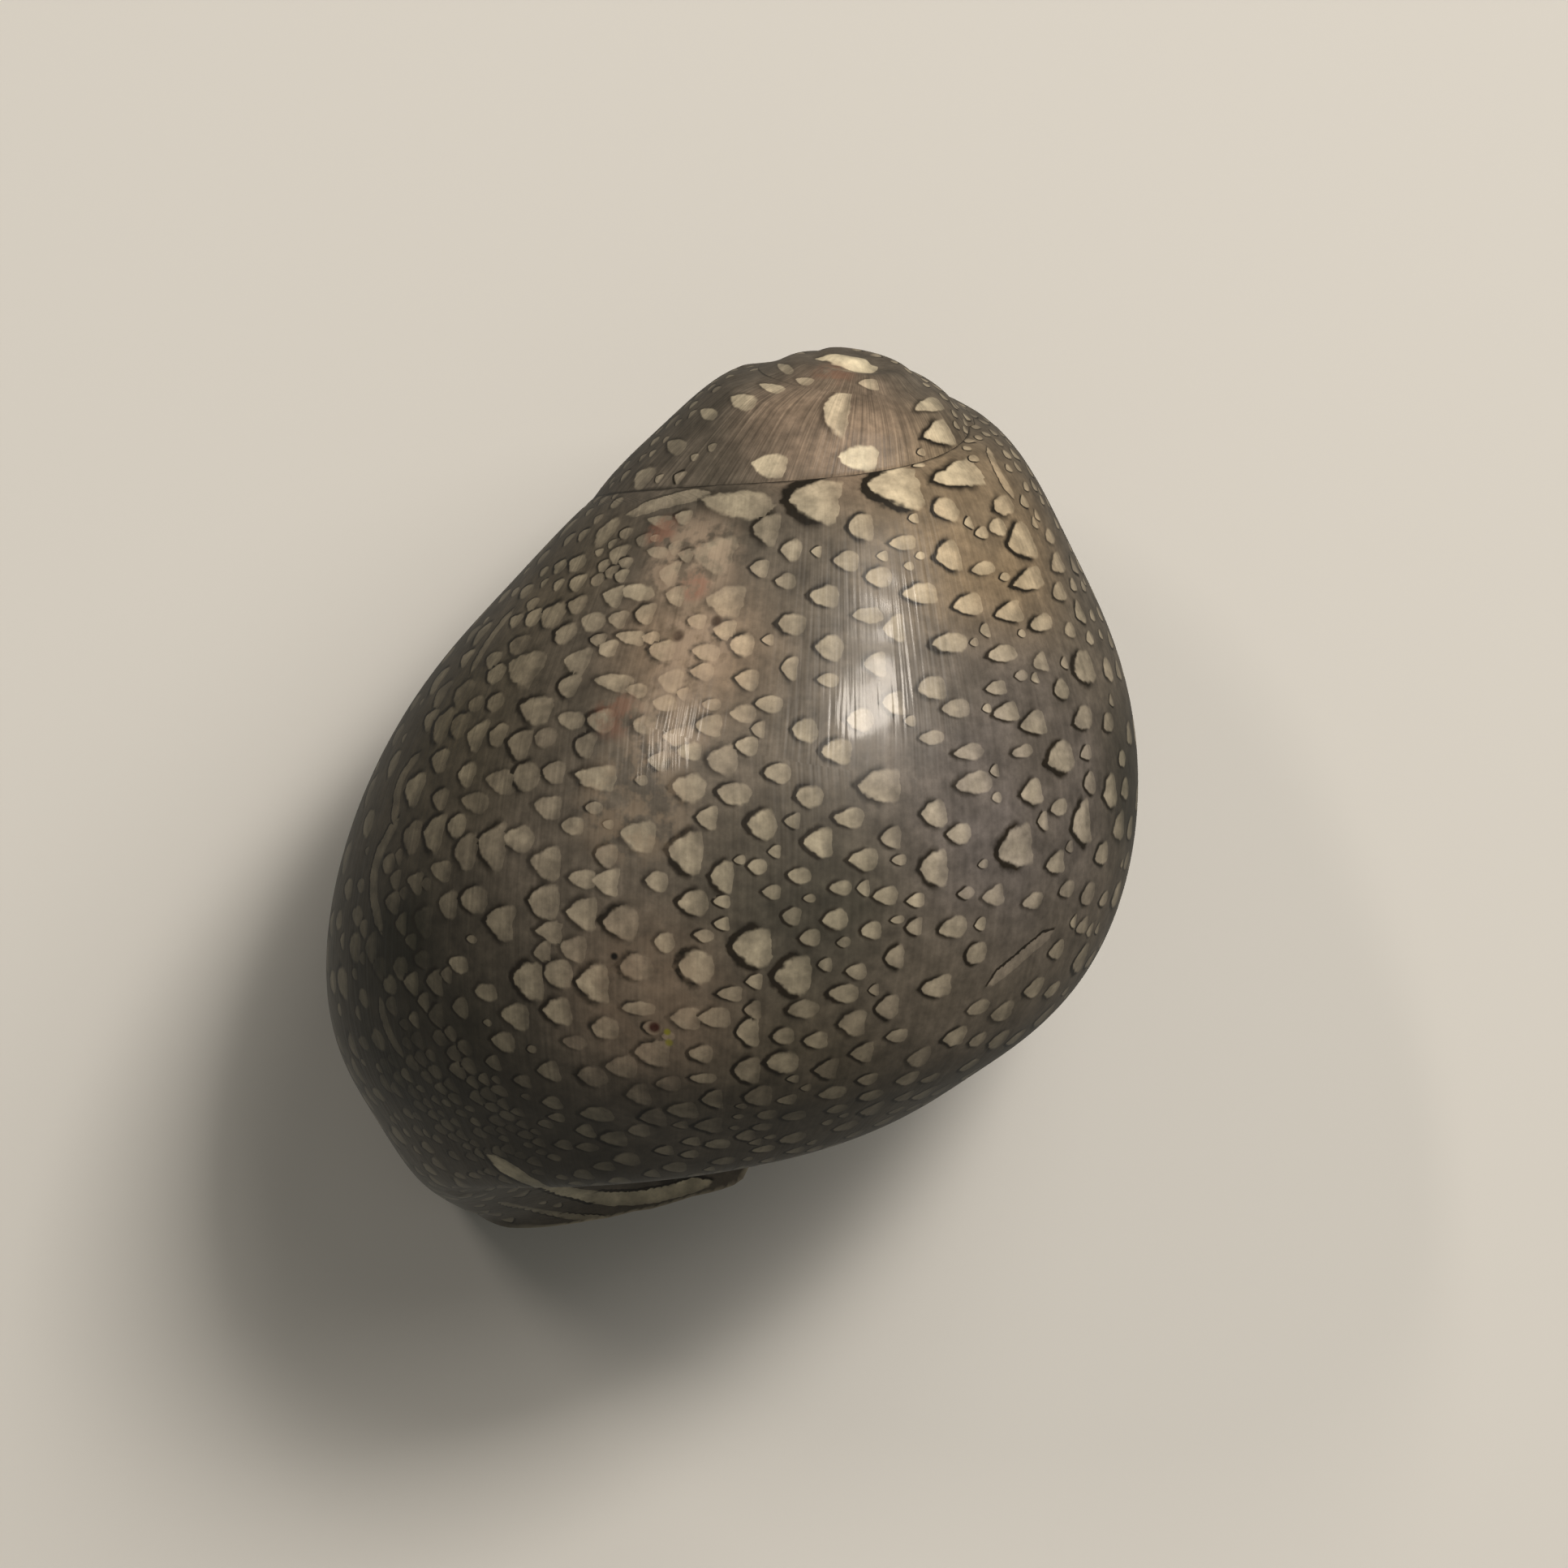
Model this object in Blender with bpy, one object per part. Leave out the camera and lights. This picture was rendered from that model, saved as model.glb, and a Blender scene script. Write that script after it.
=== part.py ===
"""Virgin nerite shell: one grown piece, resting on the rim of its aperture.

Metres, +Z up. The shell grows as a section that turns about an axis, widens and
sinks away from the apex. It lies as it was laid on a table: the plane of the
aperture is z = 0, the apex points to +Y and the outer lip is on the -X side.
The origin is at the middle of the bounding box, on the table.
"""

import math

import bmesh
import bpy
from mathutils import Vector

# Growth of the section's centre line, at the left side where the angle is 0
WHORL_RADIUS = 0.00501
WHORL_DROP = 0.01118
WIDENING_PER_TURN = 1.82
DESCENT_PER_TURN = 2.055

# The section: half sizes as shares of the centre line's radius and drop
YOUNG_HALF_WIDTH = 0.808
ADULT_HALF_WIDTH = 0.582
YOUNG_HALF_HEIGHT = 0.793
ADULT_HALF_HEIGHT = 0.660
YOUNG_LEAN = math.radians(8.2)
ADULT_LEAN = math.radians(9.9)
OVALNESS = -0.011
SHOULDER_SLOPE = -0.064
FLATTENED_INSIDE = 0.082
YOUNG_UNTIL = math.radians(-216.0)
ADULT_FROM = math.radians(72.0)

# Where growth starts and ends, and how the first turn swells from nothing
TURNS = 4
SWELLING_TURNS = 0.9
APEX_HEIGHT = -0.00024
SMALLEST_SIZE = 1e-6
LIP_BACK_END = math.radians(96.0)
LIP_FRONT_END = math.radians(92.0)
LIP_ROUNDING = math.radians(8.0)
LEAN_STARTS = math.radians(-175.0)

# Bounds on the turns of the section where whorls meet, and of the searches for them
HIGHEST_SUTURE = math.radians(112.0)
LOWEST_BAND_END = math.radians(2.0)
HIGHEST_BAND_END = math.radians(66.0)
SUTURE_SEARCH = (math.radians(55.0), math.radians(205.0))
SUTURE_SEARCH_STEPS = 60
LIP_SEARCH_STARTS = math.radians(-30.0)
HALVINGS = 28

# The plane of the aperture: its distance from the axis and its tilt
APERTURE_DISTANCE = 0.0067
APERTURE_TILT = math.radians(9.0)

# The base closes on the axis; towards the lip the closing point moves to the aperture
BASE_CLOSES_AT = -0.0146
BASE_TURNS_AT = math.radians(-112.0)
BASE_ENDS_AT = math.radians(-164.0)
BASE_GENTLENESS = 1.5
COLUMELLA_END = (0.0011, -0.0160, 0.0)
COLUMELLA_LEAVES = math.radians(-10.0)

# The callus: a pad laid over the ventral side, flat with the aperture's plane
CALLUS_CENTRE = (0.0004, -0.0105)
CALLUS_HALF_SIZE = (0.0027, 0.0056)
CALLUS_SIDES = 40
CALLUS_JOINS_UNTIL = math.radians(-196.0)
CALLUS_JOINS_FROM = math.radians(-20.0)
CALLUS_OVERLAP = 0.0004
CALLUS_DEPTH = 0.0042

# The ventral wall between the hidden edge of the whorl and the lip
CAP_HOLLOWING = 0.5
CAP_FLATNESS = 3.0
CLEARANCE = 0.00003

# The hollow: wall thickness, the deck that closes half of it, and its depth
WALL = 0.00075
LIP_WALL = 0.00040
LIP_THINS_OVER = 0.0030
SUTURE_WALL = 0.0014
SUTURE_SIDE = math.radians(85.0)
SUTURE_WALL_REACH = math.radians(60.0)
BASE_WALLS = 2.0
DECK_THICKNESS = 0.0009
DECK_EDGE_BACK = -0.0018
DECK_EDGE_FRONT = -0.0026
DECK_SINK = 0.0004
DECK_EDGE_SLANT = 0.0003
HOLLOW_STARTS = math.radians(-165.0)
HOLLOW_SWELLS_FROM = math.radians(-175.5)
HOLLOW_SWELLS_UNTIL = math.radians(-95.0)
HOLLOW_ENDS = math.radians(84.0)
HOLLOW_INSIDE = math.radians(-248.0)
HOLLOW_FOLLOWS_FROM = math.radians(-60.0)
HOLLOW_FOLLOWS_UNTIL = math.radians(30.0)

# How fine the mesh is
STEPS_PER_TURN = 48
SPIRE_COLUMNS = 9
BODY_COLUMNS = 24
CAP_COLUMNS = 9
HOLLOW_RINGS = 30
HOLLOW_SIDES = 28

FULL_TURN = 2.0 * math.pi
GROWTH_START = LIP_BACK_END - TURNS * FULL_TURN
OUTSIDE_COLOUR = (0.105, 0.088, 0.066, 1.0)
OUTSIDE_ROUGHNESS = 0.28
SHARP_ANGLE = math.radians(45.0)


def smooth(value, low, high):
    """Rise smoothly from 0 at low to 1 at high."""
    share = min(max((value - low) / (high - low), 0.0), 1.0)
    return share * share * (3.0 - 2.0 * share)


def base_share(turn):
    """Give how far a turn of the section has gone towards where the base closes."""
    share = (turn - BASE_TURNS_AT) / (BASE_ENDS_AT - BASE_TURNS_AT)
    return min(max(share, 0.0), 1.0) ** BASE_GENTLENESS


def mix(first, second, share):
    """Go from the first value to the second by a share."""
    return first + (second - first) * share


def section_sizes(angle):
    """Give the section's centre, half sizes and lean at a growth angle."""
    grown = smooth(angle, YOUNG_UNTIL, ADULT_FROM)
    radius = WHORL_RADIUS * WIDENING_PER_TURN ** (angle / FULL_TURN)
    drop = WHORL_DROP * DESCENT_PER_TURN ** (angle / FULL_TURN)
    half_width = radius * mix(YOUNG_HALF_WIDTH, ADULT_HALF_WIDTH, grown)
    half_height = drop * mix(YOUNG_HALF_HEIGHT, ADULT_HALF_HEIGHT, grown)
    return radius, drop, half_width, half_height, mix(YOUNG_LEAN, ADULT_LEAN, grown)


def roundness(turn):
    """Give the section's radius, against an ellipse, at an angle round it."""
    return (1.0 + OVALNESS * math.cos(2.0 * turn) + SHOULDER_SLOPE * math.sin(3.0 * turn)
            + FLATTENED_INSIDE * math.cos(3.0 * turn))


def swelling(angle):
    """Give the size of the first turn, which swells from nothing at the apex."""
    return smooth(angle, GROWTH_START, GROWTH_START + SWELLING_TURNS * FULL_TURN)


def section_point(angle, turn, thinner=0.0):
    """Give radius and height of a point of the section, thinner by a wall."""
    radius, drop, half_width, half_height, lean = section_sizes(angle)
    across = (half_width - thinner) * roundness(turn) * math.cos(turn)
    along = (half_height - thinner) * roundness(turn) * math.sin(turn)
    out = radius + across * math.cos(lean) - along * math.sin(lean)
    up = -drop + across * math.sin(lean) + along * math.cos(lean)
    size = swelling(angle)
    return out * size, mix(APEX_HEIGHT, up, size)


def turn_of_point(angle, out, up):
    """Give where a point lies round the section, and how far outside it is."""
    radius, drop, half_width, half_height, lean = section_sizes(angle)
    size = max(swelling(angle), SMALLEST_SIZE)
    right = out / size - radius
    above = APEX_HEIGHT + (up - APEX_HEIGHT) / size + drop
    across = (right * math.cos(lean) + above * math.sin(lean)) / half_width
    along = (above * math.cos(lean) - right * math.sin(lean)) / half_height
    turn = math.atan2(along, across)
    return turn, math.hypot(across, along) / roundness(turn) - 1.0


def suture_turn(angle):
    """Find where, round its top, a section meets the whorl before it."""
    before = SUTURE_SEARCH[0]
    for step in range(1, SUTURE_SEARCH_STEPS + 1):
        after = mix(*SUTURE_SEARCH, step / SUTURE_SEARCH_STEPS)
        if turn_of_point(angle - FULL_TURN, *section_point(angle, after))[1] <= 0.0:
            break
        before = after
    for _ in range(HALVINGS):
        middle = 0.5 * (before + after)
        if turn_of_point(angle - FULL_TURN, *section_point(angle, middle))[1] > 0.0:
            before = middle
        else:
            after = middle
    return before


def whorl_edges(angle):
    """Give the turns of the section where a whorl's band starts and ends."""
    top = min(suture_turn(angle), HIGHEST_SUTURE)
    next_angle = angle + FULL_TURN
    meeting = section_point(next_angle, suture_turn(next_angle))
    middle = turn_of_point(angle, *meeting)[0]
    return top, min(max(middle, LOWEST_BAND_END), HIGHEST_BAND_END)


def place(angle, out, up):
    """Turn a point of the half plane at a growth angle into a place at rest."""
    across = -out * math.cos(angle)
    behind = out * math.sin(angle)
    along = behind * math.sin(APERTURE_TILT) + up * math.cos(APERTURE_TILT)
    outward = behind * math.cos(APERTURE_TILT) - up * math.sin(APERTURE_TILT)
    return Vector((across, along, APERTURE_DISTANCE - outward))


def base_place(angle):
    """Give the point where the base closes, on the axis or near the aperture."""
    on_axis = place(0.0, 0.0, BASE_CLOSES_AT)
    share = (angle - COLUMELLA_LEAVES) / (LIP_BACK_END - COLUMELLA_LEAVES)
    return on_axis.lerp(Vector(COLUMELLA_END), min(max(share, 0.0), 1.0))


def strip_place(angle, column, row_angle=None):
    """Give the place of one column of the outer surface at a growth angle."""
    top, middle = whorl_edges(angle)
    if column <= SPIRE_COLUMNS:
        return place(angle, *section_point(angle, mix(top, middle, column / SPIRE_COLUMNS)))
    turn = mix(middle, BASE_ENDS_AT, (column - SPIRE_COLUMNS) / BODY_COLUMNS)
    point = place(angle, *section_point(angle, turn))
    return point.lerp(base_place(angle if row_angle is None else row_angle), base_share(turn))


def lip_angle(column):
    """Find the growth angle at which a column reaches the aperture's plane."""
    latest = mix(LIP_BACK_END, LIP_FRONT_END, smooth(column, 0, SPIRE_COLUMNS + BODY_COLUMNS))
    before, after = LIP_SEARCH_STARTS, LIP_BACK_END + LIP_ROUNDING
    if strip_place(after, column).z > 0.0:
        return latest
    for _ in range(HALVINGS):
        middle = 0.5 * (before + after)
        if strip_place(middle, column).z > 0.0:
            before = middle
        else:
            after = middle
    overlap = max(LIP_ROUNDING - abs(before - latest), 0.0)
    return min(before, latest) - overlap ** 2 / (4.0 * LIP_ROUNDING)


def callus_mesh(rows, body_starts):
    """Build the callus: a hull from its flat outline to the base of the body whorl."""
    mesh = bmesh.new()
    for side in range(CALLUS_SIDES):
        turn = FULL_TURN * side / CALLUS_SIDES
        mesh.verts.new((CALLUS_CENTRE[0] + CALLUS_HALF_SIZE[0] * math.cos(turn),
                        CALLUS_CENTRE[1] + CALLUS_HALF_SIZE[1] * math.sin(turn), 0.0))
    step_angle = FULL_TURN / STEPS_PER_TURN
    joined = int((CALLUS_JOINS_UNTIL - LIP_BACK_END + FULL_TURN) / step_angle)
    for step, row in enumerate(rows[body_starts:body_starts + joined + 1]):
        angle = LIP_BACK_END - FULL_TURN + step * step_angle
        centre = place(angle, section_sizes(angle)[0], -section_sizes(angle)[1])
        middle = whorl_edges(angle)[1]
        first = int((middle - CALLUS_JOINS_FROM) / (middle - BASE_ENDS_AT) * BODY_COLUMNS)
        for point in row[SPIRE_COLUMNS + first:]:
            inside = point.co + (centre - point.co).normalized() * CALLUS_OVERLAP
            if inside.z < CALLUS_DEPTH:
                mesh.verts.new((inside.x, inside.y, max(inside.z, 0.0)))
    for row in rows[body_starts + joined:]:
        if row[-1].co.z < CALLUS_DEPTH:
            inside = row[-1].co + Vector((-CALLUS_OVERLAP, CALLUS_OVERLAP, 0.0))
            mesh.verts.new((inside.x, inside.y, max(inside.z, 0.0)))
    bmesh.ops.convex_hull(mesh, input=mesh.verts)
    spare = [vertex for vertex in mesh.verts if not vertex.link_faces]
    bmesh.ops.delete(mesh, geom=spare, context="VERTS")
    bmesh.ops.recalc_face_normals(mesh, faces=mesh.faces)
    return mesh


def add_face(mesh, corners):
    """Add a face on its corners, leaving out any that repeat."""
    kept = [corner for index, corner in enumerate(corners) if corner is not corners[index - 1]]
    if len(set(kept)) > 2:
        mesh.faces.new(kept)


def join_rows(mesh, first, second):
    """Loft two rows of equal length with one face a column."""
    for column in range(min(len(first), len(second)) - 1):
        add_face(mesh, (first[column], first[column + 1], second[column + 1], second[column]))


def zip_rows(mesh, first, second):
    """Loft two rows of unlike length with triangles."""
    one, two = 0, 0
    while one < len(first) - 1 or two < len(second) - 1:
        first_goes = two == len(second) - 1 or (
            one < len(first) - 1 and (one + 1) / (len(first) - 1) <= (two + 1) / (len(second) - 1))
        if first_goes:
            add_face(mesh, (first[one], first[one + 1], second[two]))
            one += 1
        else:
            add_face(mesh, (first[one], second[two + 1], second[two]))
            two += 1


def outer_rows(mesh):
    """Add the vertices of the outer surface, one row for each step of growth."""
    apex = mesh.verts.new(place(0.0, 0.0, APEX_HEIGHT))
    base = mesh.verts.new(base_place(COLUMELLA_LEAVES))
    last = TURNS * STEPS_PER_TURN
    body_starts = last - STEPS_PER_TURN
    columns = SPIRE_COLUMNS + BODY_COLUMNS
    lip = [lip_angle(column) for column in range(columns)]
    rows = [[apex] * (SPIRE_COLUMNS + 1)]
    for step in range(1, last + 1):
        angle = mix(GROWTH_START, LIP_BACK_END, step / last)
        leaning = smooth(angle, LEAN_STARTS, LIP_BACK_END)
        row = [rows[step - STEPS_PER_TURN][SPIRE_COLUMNS] if step >= STEPS_PER_TURN else apex]
        for column in range(1, columns if step >= body_starts else SPIRE_COLUMNS + 1):
            leaned = angle + (lip[column] - LIP_BACK_END) * leaning
            row.append(mesh.verts.new(strip_place(leaned, column, angle)))
            if step == last:
                row[-1].co.z = 0.0
        if angle > COLUMELLA_LEAVES:
            base = mesh.verts.new(base_place(angle))
        rows.append(row + [base] if step >= body_starts else row)
    return rows, body_starts


def ventral_rows(mesh, inner_edge, lip_edge):
    """Add the rows between the hidden end of the body whorl and the lip."""
    rows = []
    for share in (step / CAP_COLUMNS for step in range(1, CAP_COLUMNS)):
        row = [lip_edge[0]]
        for index in range(1, len(lip_edge) - 1):
            where = index * (len(inner_edge) - 1) / (len(lip_edge) - 1)
            low = int(where)
            start = inner_edge[low].co.lerp(inner_edge[low + 1].co, where - low)
            point = start.lerp(lip_edge[index].co, share)
            hollowed = 4.0 * share * (1.0 - share) * smooth(where, BODY_COLUMNS, len(inner_edge) - 1)
            point.y += CAP_HOLLOWING * hollowed * (lip_edge[index].co - start).length
            point.z = start.z * (1.0 - share) ** CAP_FLATNESS
            row.append(mesh.verts.new(point))
        rows.append(row + [lip_edge[-1]])
    return rows


def shell_mesh():
    """Build the outside of the shell as one closed mesh."""
    mesh = bmesh.new()
    rows, body_starts = outer_rows(mesh)
    for first, second in zip(rows, rows[1:]):
        join_rows(mesh, first, second)
    closing_points = [row[-1] for row in rows[body_starts:]]
    fold = [point for index, point in enumerate(closing_points[1:])
            if point is not closing_points[index]]
    inner_edge = rows[body_starts][SPIRE_COLUMNS:] + fold
    across = ventral_rows(mesh, inner_edge, rows[-1])
    zip_rows(mesh, inner_edge, across[0])
    for first, second in zip(across, across[1:] + [rows[-1]]):
        join_rows(mesh, first, second)
    bmesh.ops.recalc_face_normals(mesh, faces=mesh.faces)
    callus = callus_mesh(rows, body_starts)
    rim = set(rows[-1])
    for vertex in mesh.verts:
        if vertex not in rim:
            vertex.co.z = max(vertex.co.z, CLEARANCE)
    return mesh, callus


def hollow_place(row_angle, turn, lip_turns):
    """Give a point of the hollow's wall, leaned as the growth lines are."""
    leaning = smooth(row_angle, LEAN_STARTS, LIP_BACK_END)
    angle = row_angle + (lip_at(turn, lip_turns) - LIP_BACK_END) * leaning
    depth = place(angle, *section_point(angle, turn)).z
    wall = mix(LIP_WALL, WALL, smooth(depth, 0.0, LIP_THINS_OVER))
    round_top = abs((turn - SUTURE_SIDE + math.pi) % FULL_TURN - math.pi)
    beside_suture = smooth(-round_top, -SUTURE_WALL_REACH, 0.0)
    wall += SUTURE_WALL * beside_suture * smooth(row_angle, 0.0, LIP_BACK_END)
    point = place(angle, *section_point(angle, turn, wall))
    radius, drop = section_sizes(angle)[:2]
    centre = place(angle, radius, -drop)
    closing = (base_share(turn)
               * smooth(turn, HOLLOW_INSIDE, BASE_ENDS_AT)
               * smooth(row_angle, HOLLOW_FOLLOWS_FROM, HOLLOW_FOLLOWS_UNTIL))
    closed = base_place(row_angle)
    closed += (centre - closed).normalized() * BASE_WALLS * wall
    point = point.lerp(closed, closing)
    return centre.lerp(point, smooth(row_angle, HOLLOW_SWELLS_FROM, HOLLOW_SWELLS_UNTIL))


def lip_at(turn, lip_turns):
    """Read the lip's growth angle at a turn of the section from its known points."""
    if turn >= lip_turns[0][0] or turn <= HOLLOW_INSIDE:
        return HOLLOW_ENDS
    for (first_turn, first), (second_turn, second) in zip(lip_turns, lip_turns[1:]):
        if turn >= second_turn:
            return mix(first, second, (turn - first_turn) / (second_turn - first_turn))
    return HOLLOW_ENDS


def hollow_mesh():
    """Build the space inside the last whorl as one closed mesh."""
    mesh = bmesh.new()
    lip_turns = []
    for column in range(SPIRE_COLUMNS + BODY_COLUMNS):
        angle = lip_angle(column)
        top, middle = whorl_edges(angle)
        turn = mix(top, middle, column / SPIRE_COLUMNS)
        if column > SPIRE_COLUMNS:
            turn = mix(middle, BASE_ENDS_AT, (column - SPIRE_COLUMNS) / BODY_COLUMNS)
        lip_turns.append((turn, min(angle, HOLLOW_ENDS)))
    lip_turns.append((HOLLOW_INSIDE, HOLLOW_ENDS))
    rings = []
    for step in range(HOLLOW_RINGS + 1):
        row_angle = mix(HOLLOW_STARTS, LIP_BACK_END, step / HOLLOW_RINGS)
        ring = []
        for side in range(HOLLOW_SIDES):
            turn = mix(HIGHEST_SUTURE, HIGHEST_SUTURE - FULL_TURN, side / HOLLOW_SIDES)
            ring.append(mesh.verts.new(hollow_place(row_angle, turn, lip_turns)))
        rings.append(ring)
    below = [mesh.verts.new((corner.co.x, corner.co.y, -WALL)) for corner in rings[-1]]
    rings.append(below)
    for first, second in zip(rings, rings[1:]):
        join_rows(mesh, first + first[:1], second + second[:1])
    mesh.faces.new(rings[0])
    mesh.faces.new(rings[-1])
    bmesh.ops.recalc_face_normals(mesh, faces=mesh.faces)
    return mesh


def deck_mesh():
    """Build the block that keeps the deck across the inner half of the aperture."""
    mesh = bmesh.new()
    bmesh.ops.create_cube(mesh, size=1.0)
    reach = 2.0 * WHORL_DROP
    for vertex in mesh.verts:
        front = vertex.co.y < 0.0
        inside = vertex.co.z > 0.0
        edge = DECK_EDGE_FRONT if front else DECK_EDGE_BACK
        vertex.co.y = -reach if front else 0.0
        vertex.co.x = reach if vertex.co.x > 0.0 else edge + (DECK_EDGE_SLANT if inside else 0.0)
        vertex.co.z = DECK_THICKNESS + DECK_SINK if inside else -DECK_THICKNESS
    return mesh


def glossy_shell():
    """Make the material: grey brown outer layer under a clear gloss."""
    material = bpy.data.materials.new("glossy_shell")
    material.use_nodes = True
    surface = material.node_tree.nodes["Principled BSDF"]
    surface.inputs["Base Color"].default_value = OUTSIDE_COLOUR
    surface.inputs["Roughness"].default_value = OUTSIDE_ROUGHNESS
    surface.inputs["Metallic"].default_value = 0.0
    return material


def add_object(name, mesh, collection, cutter=False):
    """Turn a bmesh into an object; a cutter is shown as wire and not rendered."""
    data = bpy.data.meshes.new(name)
    mesh.to_mesh(data)
    mesh.free()
    item = bpy.data.objects.new(name, data)
    collection.objects.link(item)
    if cutter:
        item.hide_render = True
        item.display_type = "WIRE"
    return item


def combine(item, other, operation):
    """Join one shape with another, or take the other out of it."""
    modifier = item.modifiers.new(operation.lower() + "_" + other.name, "BOOLEAN")
    modifier.operation = operation
    modifier.solver = "EXACT"
    modifier.object = other


def centre_on_table(objects):
    """Move every mesh so that the shell's box has its bottom centre at the origin."""
    corners = [vertex.co for vertex in objects[0].data.vertices]
    middle_x = 0.5 * (min(c.x for c in corners) + max(c.x for c in corners))
    middle_y = 0.5 * (min(c.y for c in corners) + max(c.y for c in corners))
    for item in objects:
        for vertex in item.data.vertices:
            vertex.co.x -= middle_x
            vertex.co.y -= middle_y


def main():
    """Clear the scene and build the shell."""
    for item in list(bpy.data.objects):
        bpy.data.objects.remove(item, do_unlink=True)
    model = bpy.data.collections.new("virgin_nerite_shell")
    cutters = bpy.data.collections.new("cutters")
    for collection in (model, cutters):
        bpy.context.scene.collection.children.link(collection)
    outside, pad = shell_mesh()
    shell = add_object("shell", outside, model)
    callus = add_object("callus", pad, cutters, cutter=True)
    shell.data.materials.append(glossy_shell())
    hollow = add_object("hollow", hollow_mesh(), cutters, cutter=True)
    deck = add_object("deck", deck_mesh(), cutters, cutter=True)
    centre_on_table((shell, callus, hollow, deck))
    combine(shell, callus, "UNION")
    combine(hollow, deck, "DIFFERENCE")
    combine(shell, hollow, "DIFFERENCE")
    shell.data.shade_smooth()
    shell.data.set_sharp_from_angle(angle=SHARP_ANGLE)


main()
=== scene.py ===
"""Looks of the virgin nerite shell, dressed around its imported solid.

The shell grew as one piece, so one mesh stands for the one node. It is grown
again here from the same law as the solid, far more finely: a section that turns
about an axis, widens and sinks away from the apex. Pale tongues with dark rims
lie on a grey brown ground under a clear gloss; below, a cream callus and a deck
close the inner half of the aperture. Metres, +Z up, apex towards +Y.
"""

import bisect
import itertools
import logging
import math
import random
from collections.abc import Callable
from dataclasses import astuple, dataclass, field
from enum import Enum
from functools import partial

import bmesh
import bpy
from mathutils import Matrix, Vector
from mathutils.bvhtree import BVHTree
from mathutils.kdtree import KDTree


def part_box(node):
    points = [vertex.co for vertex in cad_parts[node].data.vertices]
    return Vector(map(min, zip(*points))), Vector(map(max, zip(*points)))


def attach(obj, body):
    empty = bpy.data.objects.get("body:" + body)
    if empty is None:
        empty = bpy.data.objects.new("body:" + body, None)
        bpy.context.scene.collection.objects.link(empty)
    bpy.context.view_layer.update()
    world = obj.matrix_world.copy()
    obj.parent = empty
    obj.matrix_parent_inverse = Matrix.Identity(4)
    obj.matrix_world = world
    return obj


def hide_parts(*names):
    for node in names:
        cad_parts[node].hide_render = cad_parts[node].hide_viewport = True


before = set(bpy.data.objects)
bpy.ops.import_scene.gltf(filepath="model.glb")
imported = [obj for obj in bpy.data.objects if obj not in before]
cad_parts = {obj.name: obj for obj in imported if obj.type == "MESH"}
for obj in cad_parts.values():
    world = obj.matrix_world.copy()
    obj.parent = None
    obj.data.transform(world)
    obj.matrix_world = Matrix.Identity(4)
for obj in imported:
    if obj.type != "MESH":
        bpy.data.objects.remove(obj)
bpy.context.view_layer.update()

MM = 0.001
DEG = math.radians(1.0)
FULL_TURN = 2.0 * math.pi
GROWTH_MAP, SUTURE_MAP, COVER = "growth", "sutures", "callus_cover"
NO_SUTURE = 5.0
OFF_TONGUE = 9.0
EASE = {"interpolation_type": "SMOOTHSTEP"}
Pair = tuple[float, float]
Shape = bmesh.types.BMesh
Socket = bpy.types.NodeSocket
Finder = Callable[[float, float], tuple[Vector, Vector, int] | None]
log = logging.getLogger("nerite")


def portion(value: float, low: float, high: float) -> float:
    """Return how far a value has gone from low to high, from 0 to 1."""
    return min(max((value - low) / (high - low), 0.0), 1.0)


def smooth(value: float, low: float, high: float) -> float:
    """Ease from 0 at low to 1 at high."""
    share = portion(value, low, high)
    return share * share * (3.0 - 2.0 * share)


def mix(first: float, second: float, share: float) -> float:
    """Return the number that lies the share of the way from first to second."""
    return first + (second - first) * share


def linear(hex_colour: str) -> tuple[float, float, float, float]:
    """Turn an sRGB hex colour to the linear red, green, blue and alpha that shaders take."""
    parts = [int(hex_colour[place:place + 2], 16) / 255.0 for place in (1, 3, 5)]
    return tuple(c / 12.92 if c <= 0.04045 else ((c + 0.055) / 1.055) ** 2.4 for c in parts) + (1.0,)


def feed(node: bpy.types.Node, inputs: dict | tuple) -> None:
    """Set or link a node's inputs.

    Args:
        node: The node that is fed.
        inputs: Values, sockets or nodes, by the input's name or number, or in the inputs' order.
    """
    for name, value in inputs.items() if isinstance(inputs, dict) else enumerate(inputs):
        if isinstance(value, bpy.types.Node):
            value = next(socket for socket in value.outputs if socket.enabled)
        if isinstance(value, Socket):
            node.id_data.links.new(value, node.inputs[name])
        else:
            node.inputs[name].default_value = value


def add_node(tree: bpy.types.NodeTree, kind: str, inputs: dict | tuple = (),
             **settings: object) -> bpy.types.Node:
    """Add a shader node with its settings and its links.

    Args:
        tree: The node tree that takes the node.
        kind: Blender's name of the node type, without its first word.
        inputs: What feeds it, as feed takes it.
        settings: The node's own properties.

    Returns:
        The new node.
    """
    node = tree.nodes.new("ShaderNode" + kind)
    for name, value in settings.items():
        setattr(node, name, value)
    feed(node, inputs)
    return node


def start_material(name: str, inputs: dict) -> tuple[bpy.types.Material, bpy.types.Node]:
    """Make a material.

    Args:
        name: Its name.
        inputs: The values that its shader's own sockets have all over.

    Returns:
        The material and its shader.
    """
    made = bpy.data.materials.new(name)
    made.use_nodes = True
    shader = made.node_tree.nodes["Principled BSDF"]
    feed(shader, inputs)
    return made, shader


def as_object(name: str, shape: Shape, materials: tuple = (None, None)) -> bpy.types.Object:
    """Turn a bmesh into an object of the scene, and free it.

    Args:
        name: The object's name.
        shape: The bmesh.
        materials: What its material places hold.

    Returns:
        The object.
    """
    data = bpy.data.meshes.new(name)
    shape.to_mesh(data)
    shape.free()
    for material in materials:
        data.materials.append(material)
    item = bpy.data.objects.new(name, data)
    bpy.context.scene.collection.objects.link(item)
    return item


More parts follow.
